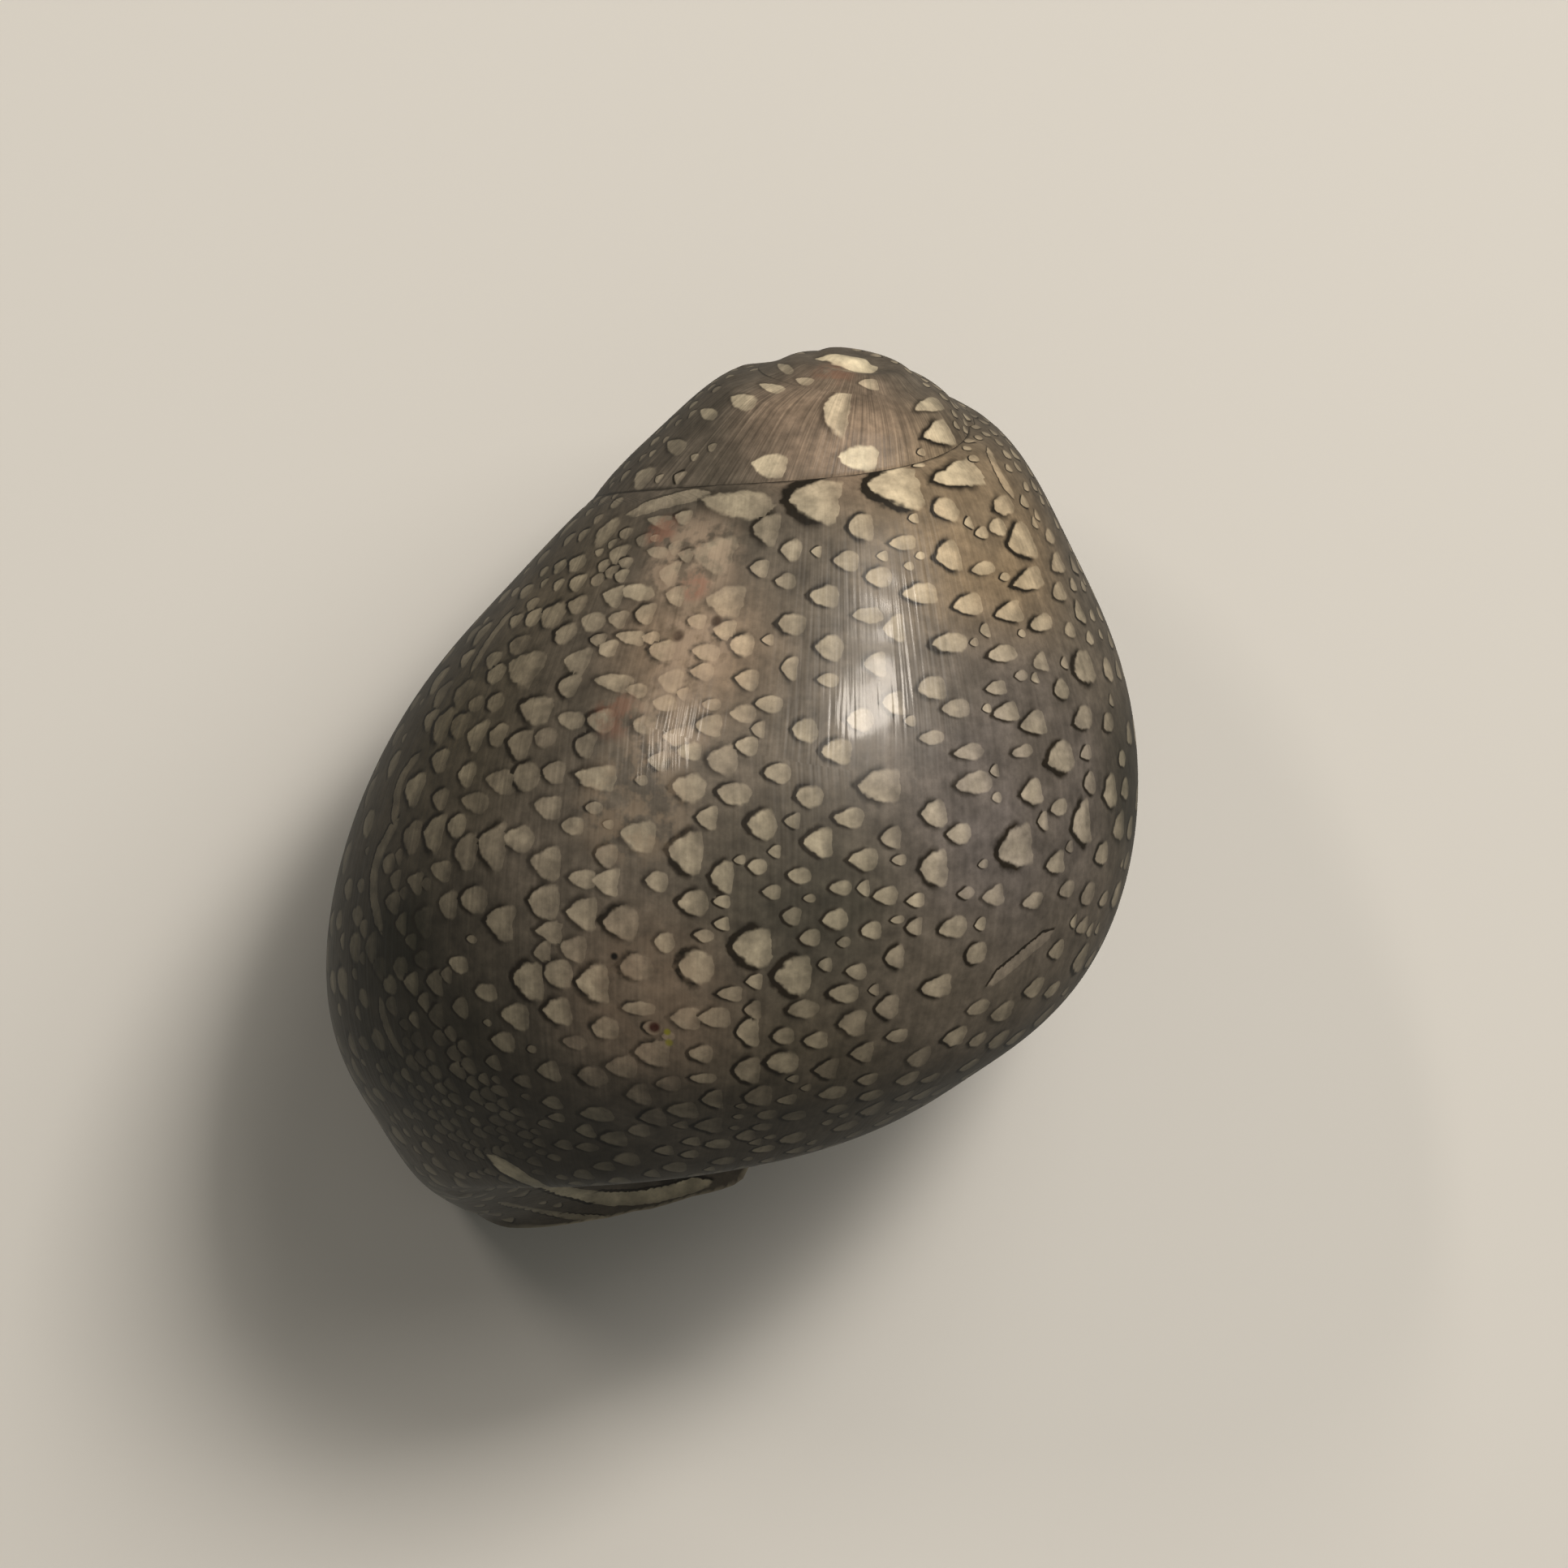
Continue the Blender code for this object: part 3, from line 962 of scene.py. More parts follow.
    def deck(self) -> Shape:
        """Make the block that keeps the deck when the space is taken out.

        Returns:
            The closed block.
        """
        block = bmesh.new()
        bmesh.ops.create_cube(block, size=1.0)
        reach = 2.0 * self.law.drop
        for vertex in block.verts:
            right, back, above = (number > 0.0 for number in vertex.co)
            edge = self.deck_edge_back if back else self.deck_edge_front
            edge += self.deck_slant if above else 0.0
            vertex.co = self.law.axis_place + Vector((
                reach if right else edge,
                0.0 if back else -reach,
                self.deck_thickness + self.deck_sink if above else -self.deck_thickness))
        return block

    def tooth(self, number: int) -> Shape:
        """Make one of the low teeth on the deck's edge.

        Args:
            number: Which tooth, counted from the back.

        Returns:
            The closed bump.
        """
        bump = bmesh.new()
        share = number / (self.teeth - 1)
        along = mix(*self.teeth_along, share)
        edge = mix(self.deck_edge_back, self.deck_edge_front, -along / (2.0 * self.law.drop))
        size = self.tooth_radius * mix(1.0, self.smallest_tooth, abs(2.0 * share - self.largest_tooth))
        bmesh.ops.create_icosphere(bump, subdivisions=self.tooth_fineness, radius=1.0)
        bmesh.ops.scale(bump, vec=[part * size for part in self.tooth_shape], verts=bump.verts)
        where = Vector((edge + self.tooth_sink * size, along, self.tooth_height * self.deck_thickness))
        bmesh.ops.translate(bump, vec=self.law.axis_place + where, verts=bump.verts)
        return bump


@dataclass(frozen=True)
class Photograph:
    """The view of the photograph: which ray of the frame each of its pixels looks along."""

    turned: float = 9.7 * DEG
    nodded: float = 4.4 * DEG
    pixels_a_metre: float = 61600.0
    pixels: int = 1932
    middle: tuple[float, float, float] = (0.726 * MM, 0.866 * MM, 8.0 * MM)
    ray_start: float = 0.1

    @property
    def axes(self) -> tuple[Vector, Vector, Vector]:
        """Turn the picture's own directions to the frame's.

        Returns:
            The picture's right and up directions, and the one back to the camera.
        """
        up = Vector((0.0, math.cos(self.nodded), -math.sin(self.nodded)))
        back = Vector((0.0, math.sin(self.nodded), math.cos(self.nodded)))
        side = Vector((1.0, 0.0, 0.0))
        turn_cos, turn_sin = math.cos(self.turned), math.sin(self.turned)
        return side * turn_cos + up * turn_sin, up * turn_cos - side * turn_sin, back

    def hit(self, surface: BVHTree, across: float, down: float) -> tuple[Vector, Vector, int] | None:
        """Find the place of the surface that a pixel shows.

        Args:
            surface: The outside as a search tree.
            across: Pixels from the photograph's left edge.
            down: Pixels from its upper edge.

        Returns:
            The place, the outward direction and the face's number, or nothing beside the shell.
        """
        right, up, back = self.axes
        half = 0.5 * self.pixels
        origin = (Vector(self.middle) + right * ((across - half) / self.pixels_a_metre)
                  + up * ((half - down) / self.pixels_a_metre))
        place, normal, face, _ = surface.ray_cast(origin + back * self.ray_start, -back)
        return None if place is None else (place, normal, face)


@dataclass
class Tongue:
    """One pale mark: its middle, its own directions and half sizes, and how it looks."""

    middle: Vector
    normal: Vector
    forward: Vector
    half_length: float
    half_width: float
    growth: float
    shade: float
    bluntness: float
    rim: float

    def local(self, point: Vector) -> Pair:
        """Measure a point in the tongue's own half sizes, forward and across."""
        away, across = point - self.middle, self.forward.cross(self.normal)
        return away.dot(self.forward) / self.half_length, away.dot(across) / self.half_width


@dataclass(frozen=True)
class Region:
    """A region of the surface around a pixel, where the tongues have a look of their own."""

    across: float
    down: float
    reach: float
    spacing: float
    size: float
    shade: float
    rim: float
    crowd: float


REGIONS = (
    Region(1010, 500, 3.6 * MM, 1.00, 1.60, 0.10, 1.0, 2.40),
    Region(1180, 640, 3.0 * MM, 1.00, 1.10, 0.25, 1.0, 1.00),
    Region(620, 900, 4.2 * MM, 0.66, 1.80, -0.25, 1.0, 0.66),
    Region(780, 740, 2.8 * MM, 0.66, 1.70, -0.10, 0.8, 0.66),
    Region(860, 860, 2.2 * MM, 0.80, 1.30, -0.10, 0.6, 0.70),
    Region(480, 1150, 2.8 * MM, 0.66, 1.20, -0.40, 0.8, 0.70),
    Region(560, 1360, 3.6 * MM, 0.66, 0.95, -0.35, 1.0, 0.70),
    Region(720, 1130, 2.4 * MM, 0.80, 1.30, -0.15, 0.8, 0.74),
    Region(800, 1290, 3.0 * MM, 0.80, 1.25, -0.30, 0.8, 0.82),
    Region(940, 1110, 2.2 * MM, 0.80, 1.00, 0.00, 1.5, 0.88),
    Region(1000, 1330, 3.0 * MM, 0.80, 1.15, -0.20, 1.1, 0.85),
    Region(1150, 1180, 2.4 * MM, 0.80, 0.95, 0.00, 1.1, 1.00),
)

# Tongues read from the photograph: middle, width and height in its pixels, shade, rim
SEEN_TONGUES = (
    # Spire
    (1050, 444, 90, 25, 2.2, 0.2), (966, 452, 29, 15, 1.0, 0.2), (950, 477, 30, 18, 1.5, 0.3),
    (990, 469, 22, 14, 1.0, 0.2), (1070, 473, 25, 14, 0.9, 0.3), (915, 494, 32, 30, 1.4, 0.3),
    (872, 509, 24, 20, 1.1, 0.3), (832, 549, 26, 24, 0.7, 0.5), (792, 587, 24, 40, 0.6, 0.3),
    (1144, 499, 34, 20, 1.2, 0.5), (1156, 534, 36, 28, 1.4, 0.8), (946, 574, 44, 32, 1.6, 0.2),
    # The spire tongue at (1057, 565) is made far paler than a tongue is: a painted highlight where the light
    # glints on the spire.
    (1057, 565, 50, 36, 2.4, 0.2), (1030, 505, 34, 52, 1.4, 0.4),
    # Under the suture
    (908, 621, 90, 45, 0.8, 0.4), (1002, 616, 65, 50, 1.1, 1.6), (1102, 599, 64, 52, 1.5, 1.8),
    (1180, 585, 58, 33, 1.5, 0.8), (747, 655, 20, 60, 0.5, 0.5),
    # Shoulder
    (1165, 628, 30, 38, 0.9, 1.0), (1236, 623, 25, 35, 0.6, 0.8), (1229, 650, 22, 26, 0.8, 0.6),
    (1258, 668, 30, 40, 0.8, 1.0), (1060, 650, 32, 34, 0.7, 1.1), (1111, 670, 34, 20, 0.7, 0.7),
    (1167, 686, 32, 34, 0.8, 1.0), (1211, 701, 30, 22, 0.85, 0.7), (1267, 715, 38, 28, 0.8, 1.0),
    (944, 652, 32, 38, 0.5, 0.8), (975, 679, 26, 32, 0.55, 0.8), (935, 701, 24, 20, 0.5, 0.8),
    (968, 717, 26, 26, 0.5, 0.8), (1042, 692, 30, 26, 0.6, 0.8), (1082, 712, 32, 28, 0.6, 0.9),
    (1015, 735, 38, 28, 0.65, 1.0), (1133, 732, 42, 28, 0.75, 1.0), (1191, 746, 34, 26, 0.7, 0.9),
    (1243, 755, 32, 24, 0.75, 0.9), (1283, 768, 28, 28, 0.7, 1.0), (1305, 730, 20, 24, 0.6, 0.7),
    (1068, 759, 38, 24, 0.55, 0.6), (1100, 775, 28, 32, 0.55, 0.4), (975, 770, 36, 34, 0.6, 1.1),
    (1169, 793, 44, 32, 0.75, 1.1), (1234, 806, 36, 26, 0.75, 1.0), (1022, 799, 36, 36, 0.6, 0.9),
    (914, 795, 30, 34, 0.55, 0.9), (1336, 823, 30, 50, 0.6, 1.2), (1281, 817, 18, 22, 0.6, 0.4),
    (1318, 777, 16, 22, 0.5, 0.4), (1294, 661, 18, 26, 0.5, 0.5), (1303, 695, 22, 26, 0.6, 0.6),
    # Upper left
    (785, 730, 42, 28, 0.85, 0.5), (810, 681, 28, 20, 0.6, 0.3), (814, 643, 34, 20, 0.6, 0.2),
    (879, 683, 50, 50, 0.45, 0.3), (894, 741, 46, 44, 0.45, 0.3), (778, 786, 38, 20, 0.65, 0.5),
    (731, 766, 30, 34, 0.5, 0.3), (756, 841, 48, 24, 0.6, 0.4), (710, 815, 30, 32, 0.45, 0.3),
    (645, 822, 40, 45, 0.3, 0.5), (661, 874, 40, 46, 0.4, 0.9), (705, 887, 34, 30, 0.45, 0.4),
    (735, 958, 50, 34, 0.75, 0.7), (676, 994, 36, 32, 0.4, 0.4), (787, 1030, 44, 44, 0.7, 0.4),
    (707, 1017, 28, 28, 0.5, 0.5), (673, 1062, 36, 40, 0.5, 0.5), (718, 1082, 38, 26, 0.55, 0.5),
    (618, 962, 40, 34, 0.3, 0.5), (585, 988, 34, 30, 0.3, 0.5), (543, 1072, 26, 26, 0.35, 0.4),
    # Flank
    (973, 824, 20, 28, 0.55, 0.8), (920, 838, 30, 26, 0.5, 0.7), (948, 868, 34, 26, 0.5, 0.8),
    (1147, 848, 36, 32, 0.5, 0.7), (1177, 873, 34, 26, 0.45, 0.7), (1226, 848, 26, 18, 0.55, 0.8),
    (1238, 878, 32, 22, 0.6, 0.8), (1272, 892, 30, 26, 0.6, 0.9), (1335, 885, 26, 34, 0.5, 1.0),
    (991, 900, 32, 36, 0.7, 0.9), (920, 919, 28, 26, 0.5, 0.8), (1030, 926, 40, 36, 0.7, 1.3),
    (958, 953, 34, 28, 0.6, 1.1), (997, 981, 34, 36, 0.65, 1.2), (905, 978, 40, 36, 0.55, 1.1),
    (1083, 968, 52, 44, 0.5, 0.8), (1147, 909, 32, 22, 0.5, 0.7), (1193, 927, 38, 26, 0.45, 0.8),
    (1198, 965, 46, 30, 0.5, 0.7), (1259, 926, 26, 20, 0.5, 0.7), (1306, 934, 34, 42, 0.7, 1.3),
    (1368, 976, 22, 42, 0.7, 1.0), (1270, 976, 28, 30, 0.7, 0.8), (1304, 995, 22, 26, 0.7, 0.7),
    (871, 1007, 26, 26, 0.6, 0.8), (845, 1049, 42, 46, 0.6, 1.2), (939, 1015, 36, 44, 0.75, 1.4),
    (1046, 1007, 36, 30, 0.7, 1.1), (1150, 1003, 32, 36, 0.75, 0.9), (1181, 1027, 30, 32, 0.75, 0.9),
    (1096, 1032, 26, 24, 0.5, 0.8), (1250, 1044, 44, 50, 0.6, 1.0), (1008, 1037, 36, 36, 0.75, 1.3),
    (1063, 1059, 36, 28, 0.65, 1.0), (1149, 1069, 34, 42, 0.7, 0.9), (1299, 1064, 24, 24, 0.7, 0.7),
    (890, 1079, 30, 40, 0.7, 1.1), (985, 1078, 30, 26, 0.7, 1.0), (1036, 1093, 28, 24, 0.65, 0.9),
    (951, 1098, 24, 22, 0.6, 0.8), (1090, 1103, 30, 24, 0.65, 0.8), (1223, 1103, 28, 24, 0.5, 0.5),
    (1272, 1110, 26, 26, 0.55, 0.6), (855, 1111, 38, 36, 0.6, 1.1), (809, 1085, 30, 32, 0.6, 0.6),
    (717, 1124, 38, 34, 0.6, 0.6), (678, 1147, 34, 28, 0.5, 0.6), (819, 1160, 26, 30, 0.6, 0.7),
    (1029, 1132, 30, 32, 0.75, 1.0), (1174, 1142, 34, 34, 0.7, 0.8), (1073, 1145, 26, 26, 0.65, 0.8),
    (927, 1166, 48, 50, 0.85, 1.8), (997, 1154, 26, 24, 0.65, 0.9), (858, 1190, 44, 50, 0.7, 1.6),
    (976, 1201, 44, 46, 0.75, 1.7), (1054, 1196, 26, 22, 0.6, 0.8),
    (1152, 1215, 38, 26, 0.6, 0.9), (1039, 1223, 38, 28, 0.7, 1.2), (730, 1210, 40, 40, 0.75, 0.8),
    (688, 1245, 36, 40, 0.65, 0.9), (787, 1241, 42, 22, 0.6, 0.8), (921, 1270, 28, 30, 0.7, 1.0),
    (880, 1252, 40, 28, 0.5, 0.9), (964, 1308, 40, 32, 0.65, 1.1), (867, 1327, 34, 16, 0.5, 0.7),
    (681, 1358, 24, 20, 0.6, 0.6), (899, 1223, 32, 18, 0.55, 0.8),
)

# Long pale bands, followed through the photograph's pixels: places, width, shade, rim
BANDS = (
    (((622, 1440), (665, 1466), (720, 1483), (790, 1485), (858, 1466)), 17, 2.0, 1.4),
    (((613, 1489), (690, 1507), (750, 1510)), 8, 0.9, 0.6),
    (((788, 628), (820, 618), (856, 610)), 16, 0.5, 0.3),
    (((508, 938), (490, 962), (486, 1004)), 11, 0.2, 0.8),
    (((482, 1022), (462, 1058), (458, 1100), (466, 1138)), 12, 0.3, 1.0),
    (((622, 762), (602, 788), (586, 816)), 9, 0.3, 0.6),
    (((1228, 1203), (1258, 1178), (1289, 1152)), 12, 0.1, 1.4),
    (((470, 1245), (476, 1268), (488, 1290)), 9, 0.3, 0.8),
    (((1219, 556), (1229, 580), (1243, 604)), 8, 0.35, 0.5),
)


@dataclass
class TonguePattern:
    """The scattered tongues: some where the photograph shows them, the rest laid out by rule."""

    law: GrowthLaw
    photograph: Photograph
    outside: bpy.types.Mesh
    seed: int = 21
    row_step: Pair = (-0.122, 0.052)
    next_row: Pair = (0.030, 0.086)
    jitter: float = 0.16
    size_share: float = 0.080
    smallest: float = 0.22 * MM
    largest: float = 0.78 * MM
    size_spread: Pair = (0.75, 1.2)
    width_spread: Pair = (0.75, 1.15)
    usual_shade: float = 0.55
    shade_spread: float = 0.22
    bluntness: Pair = (0.06, 0.45)
    seen_bluntness: Pair = (0.08, 0.4)
    rim_spread: Pair = (0.5, 1.25)
    apart: float = 0.62
    scales: tuple[float, ...] = (1.0, 0.8, 0.64)
    filler_scale: float = 0.46
    fill_tries: int = 9000
    deepest: float = 4.0
    overhang: int = 4
    top_margin: float = 0.02
    base_margin: float = 0.03
    region_core: float = 0.4
    line_rows: int = 96
    lines_start: float = 0.2
    line_columns: tuple[int, int] = (2, 3)
    cell_size: float = 1.0 * MM
    nearest_axis: float = 0.5 * MM
    same_whorl: float = 1.6
    candidates: int = 12
    never_foreshortened_below: float = 0.55
    least_facing: float = 0.2
    corner_cuts: int = 3
    corner_shares: Pair = (0.25, 0.75)
    band_step: float = 0.22
    band_side: Pair = (-0.8, 0.6)
    band_half_length: float = 0.55
    band_half_width: float = 1.1
    band_bluntness: float = 0.25
    band_end_taper: float = 0.6
    tongues: list[Tongue] = field(default_factory=list)

    def __post_init__(self) -> None:
        """Make the search tree of the outside, read its growth angles and place all tongues."""
        self.surface = surface_tree(self.outside)
        self.face_growth = mean_growth(self.outside)
        self.random = random.Random(self.seed)
        self.regions = [(hit[0], region) for region in REGIONS
                        if (hit := self.photograph.hit(self.surface, region.across, region.down))]
        for row in SEEN_TONGUES:
            self.add_seen(*row)
        for band in BANDS:
            self.add_band(*band)
        self.cells: dict[tuple, list[Tongue]] = {}
        for tongue in self.tongues:
            self.note(tongue)
        self.lines = self.measure_lines()
        self.add_lattice()

    def regional(self, point: Vector) -> list[float]:
        """Blend what the regions say of the tongues at a place.

        Args:
            point: A place on the outside.

        Returns:
            The spacing, size, shade, rim and crowding there.
        """
        values = [1.0, 1.0, 0.0, 1.0, 1.0]
        for middle, region in self.regions:
            near = 1.0 - smooth((point - middle).length, self.region_core * region.reach, region.reach)
            values = [mix(value, goal, near) for value, goal in zip(values, astuple(region)[3:])]
        return values

    def seen_share(self, direction: Vector) -> float:
        """Return how long a unit direction looks in the photograph, and never too short."""
        right, up, _ = self.photograph.axes
        return max(math.hypot(direction.dot(right), direction.dot(up)), self.never_foreshortened_below)

    def add_seen(self, across: float, down: float, width: float, height: float,
                 shade: float, rim: float) -> None:
        """Lay a tongue that was read from the photograph onto the surface.

        Args:
            across: Its middle, in pixels from the left edge.
            down: Its middle, in pixels from the upper edge.
            width: Its width in pixels.
            height: Its height in pixels.
            shade: How pale it is.
            rim: How strong its dark rim is.
        """
        if hit := self.photograph.hit(self.surface, across, down):
            point, normal, face = hit
            forward = self.law.forward(point, normal)
            length = width / self.photograph.pixels_a_metre / self.seen_share(forward)
            breadth = height / self.photograph.pixels_a_metre / self.seen_share(forward.cross(normal))
            self.tongues.append(Tongue(
                point, normal, forward, 0.5 * length, 0.5 * breadth, self.face_growth[face],
                shade, self.random.uniform(*self.seen_bluntness), rim))

    def add_band(self, line: tuple[Pair, ...], width: float, shade: float, rim: float) -> None:
        """Lay a band as a chain of overlapping marks, along its places with the corners cut.

        Args:
            line: The pixels that it runs through.
            width: Its width in pixels.
            shade: How pale it is.
            rim: How strong its dark rim is.
        """
        right, up, _ = self.photograph.axes
        for _ in range(self.corner_cuts):
            cut = [tuple(mix(a, b, share) for a, b in zip(first, second))
                   for first, second in zip(line, line[1:]) for share in self.corner_shares]
            line = [line[0], *cut, line[-1]]
        travelled, spots = 0.0, [line[0]]
        for first, second in zip(line, line[1:]):
            travelled += math.dist(first, second)
            if travelled > self.band_step * width:
                travelled = 0.0
                spots.append(second)
        hits = [hit for spot in spots if (hit := self.photograph.hit(self.surface, *spot))]
        for before, here, after in zip([hits[0]] + hits, hits, hits[1:] + [hits[-1]]):
            point, normal, face = here
            along = after[0] - before[0]
            side = (along - normal * along.dot(normal)).normalized().cross(normal)
            if side.dot(up * self.band_side[1] + right * self.band_side[0]) < 0.0:
                side.negate()
            breadth = width / self.photograph.pixels_a_metre / self.seen_share(side)
            taper = self.band_end_taper if here in (before, after) else 1.0
            length = self.band_half_length * taper * breadth
            self.tongues.append(Tongue(point, normal, side, length, self.band_half_width * breadth,
                                       self.face_growth[face], shade, self.band_bluntness, rim))

    def measure_lines(self) -> list[tuple[float, list[float], list[Vector]]]:
        """Measure the outside along growth lines, in shares of the distance from the axis.

        Returns:
            Each line's growth angle, running lengths and places.
        """
        law, found = self.law, []
        count = self.line_rows * law.turns
        spire_step, body_step = self.line_columns
        for row in range(int(self.lines_start * count), count):
            angle = law.start + row * FULL_TURN / self.line_rows
            last = law.columns if angle > law.whorl_start else law.spire_columns
            columns = [*range(0, law.spire_columns + 1, spire_step),
                       *range(law.spire_columns + body_step, last, body_step)]
            places = [law.strip_place(law.leaned(angle, column), column, angle) for column in columns]
            lengths = [0.0, *itertools.accumulate((second - first).length / self.from_axis(second)
                                                  for first, second in zip(places, places[1:]))]
            found.append((angle, lengths, places))
        return found

    def from_axis(self, point: Vector) -> float:
        """Return the distance of a place from the axis, never quite nothing."""
        return max(self.law.split(point)[1].length, self.nearest_axis)

    def add_lattice(self) -> None:
        """Lay the tongues that no photograph shows in slanting rows, jittered and thinned."""
        for scale in self.scales:
            rows = round(self.deepest / (self.next_row[1] * scale))
            steps = round(self.law.turns * FULL_TURN / (abs(self.row_step[0]) * scale))
            for step in range(-steps // self.overhang, steps + steps // self.overhang):
                first = math.ceil(-step * self.row_step[1] / self.next_row[1])
                for row in range(first, first + rows):
                    forward = step * self.row_step[0] + row * self.next_row[0]
                    growth = self.law.lip_back_end + scale * forward
                    down = scale * (row * self.next_row[1] + step * self.row_step[1])
                    self.try_place(growth, down, scale)
        for _ in range(self.fill_tries):
            angle, lengths, _ = self.random.choice(self.lines)
            self.try_place(angle, self.random.uniform(0.0, lengths[-1]), self.filler_scale)

    def try_place(self, growth: float, down: float, scale: float) -> None:
        """Put a tongue at a lattice place if that lies on the shell and is free.

        Args:
            growth: The growth angle.
            down: The distance below the suture, in shares of the distance from the axis.
            scale: How tight the lattice is.
        """
        draw = self.random.uniform
        growth += scale * self.jitter * draw(-0.5, 0.5) * abs(self.row_step[0])
        down += scale * self.jitter * draw(-0.5, 0.5) * self.next_row[1]
        row = round((growth - self.lines[0][0]) * self.line_rows / FULL_TURN)
        if not 0 <= row < len(self.lines) or down < self.top_margin:
            return
        _, lengths, places = self.lines[row]
        if down > lengths[-1] - self.base_margin:
            return
        high = bisect.bisect(lengths, down)
        share = (down - lengths[high - 1]) / (lengths[high] - lengths[high - 1])
        point, normal, face, _ = self.surface.find_nearest(places[high - 1].lerp(places[high], share))
        spacing, size, shade, rim, crowd = self.regional(point)
        if scale in self.scales and scale != min(self.scales, key=lambda other: abs(other - spacing)):
            return
        factor = size * draw(*self.size_spread) * scale
        length = self.size_share * self.from_axis(point) * factor
        half_sizes = [0.5 * min(max(whole, self.smallest), self.largest)
                      for whole in (length, length * draw(*self.width_spread))]
        tongue = Tongue(
            point, normal, self.law.forward(point, normal), *half_sizes, self.face_growth[face],
            portion(self.usual_shade + shade + draw(-self.shade_spread, self.shade_spread), 0.0, 1.0),
            draw(*self.bluntness), rim * draw(*self.rim_spread))
        if self.is_free(tongue, crowd):
            self.tongues.append(tongue)
            self.note(tongue)

    def cell(self, point: Vector) -> tuple[int, int, int]:
        """Name the coarse cell of a place."""
        return tuple(math.floor(number / self.cell_size) for number in point)

    def note(self, tongue: Tongue) -> None:
        """Remember a tongue in the coarse cells that keep the others away."""
        self.cells.setdefault(self.cell(tongue.middle), []).append(tongue)

    def is_free(self, tongue: Tongue, crowd: float) -> bool:
        """Test that no other tongue lies too near.

        Args:
            tongue: The new tongue.
            crowd: The share of their sizes that tongues keep between their middles.

        Returns:
            Whether it may stay.
        """
        here = self.cell(tongue.middle)
        for offset in itertools.product((-1, 0, 1), repeat=3):
            for other in self.cells.get(tuple(map(sum, zip(here, offset))), ()):
                sizes = other.half_length + other.half_width + tongue.half_length + tongue.half_width
                if (tongue.middle - other.middle).length < self.apart * crowd * sizes:
                    return False
        return True

    def write(self, mesh: bpy.types.Mesh) -> None:
        """Write each face's two nearest tongues into the mesh's attributes.

        Args:
            mesh: The finished mesh of the shell.
        """
        tree = point_tree([tongue.middle for tongue in self.tongues])
        places = {layer: [OFF_TONGUE] * (3 * len(mesh.loops)) for layer in Layer}
        looks = {layer: [0.0] * (3 * len(mesh.polygons)) for layer in Layer}
        corners = [vertex.co.copy() for vertex in mesh.vertices]
        for face, angle in zip(mesh.polygons, mean_growth(mesh)):
            if face.material_index != Coat.OUTSIDE.value:
                continue
            near = [(index, self.tongues[index]) for _, index, _ in tree.find_n(face.center, self.candidates)]
            found = sorted((math.hypot(*tongue.local(face.center)), index) for index, tongue in near
                           if abs(tongue.growth - angle) < self.same_whorl
                           and tongue.normal.dot(face.normal) > self.least_facing)
            for layer, (_, index) in zip(Layer, found):
                tongue = self.tongues[index]
                looks[layer][3 * face.index:3 * face.index + 3] = tongue.shade, tongue.bluntness, tongue.rim
                for loop in face.loop_indices:
                    place = tongue.local(corners[mesh.loops[loop].vertex_index])
                    places[layer][3 * loop:3 * loop + 3] = *place, 0.0
        for layer in Layer:
            for name, domain, values in zip(layer.value, ("CORNER", "FACE"), (places[layer], looks[layer])):
                mesh.attributes.new(name, "FLOAT_VECTOR", domain).data.foreach_set("vector", values)


@dataclass(frozen=True)
class ColourPatch:
    """A patch of colour, round a pixel of the photograph: its strength at most and at least."""

    across: float
    down: float
    reach: float
    colour: str
    strength: float
    least: float = 0.0


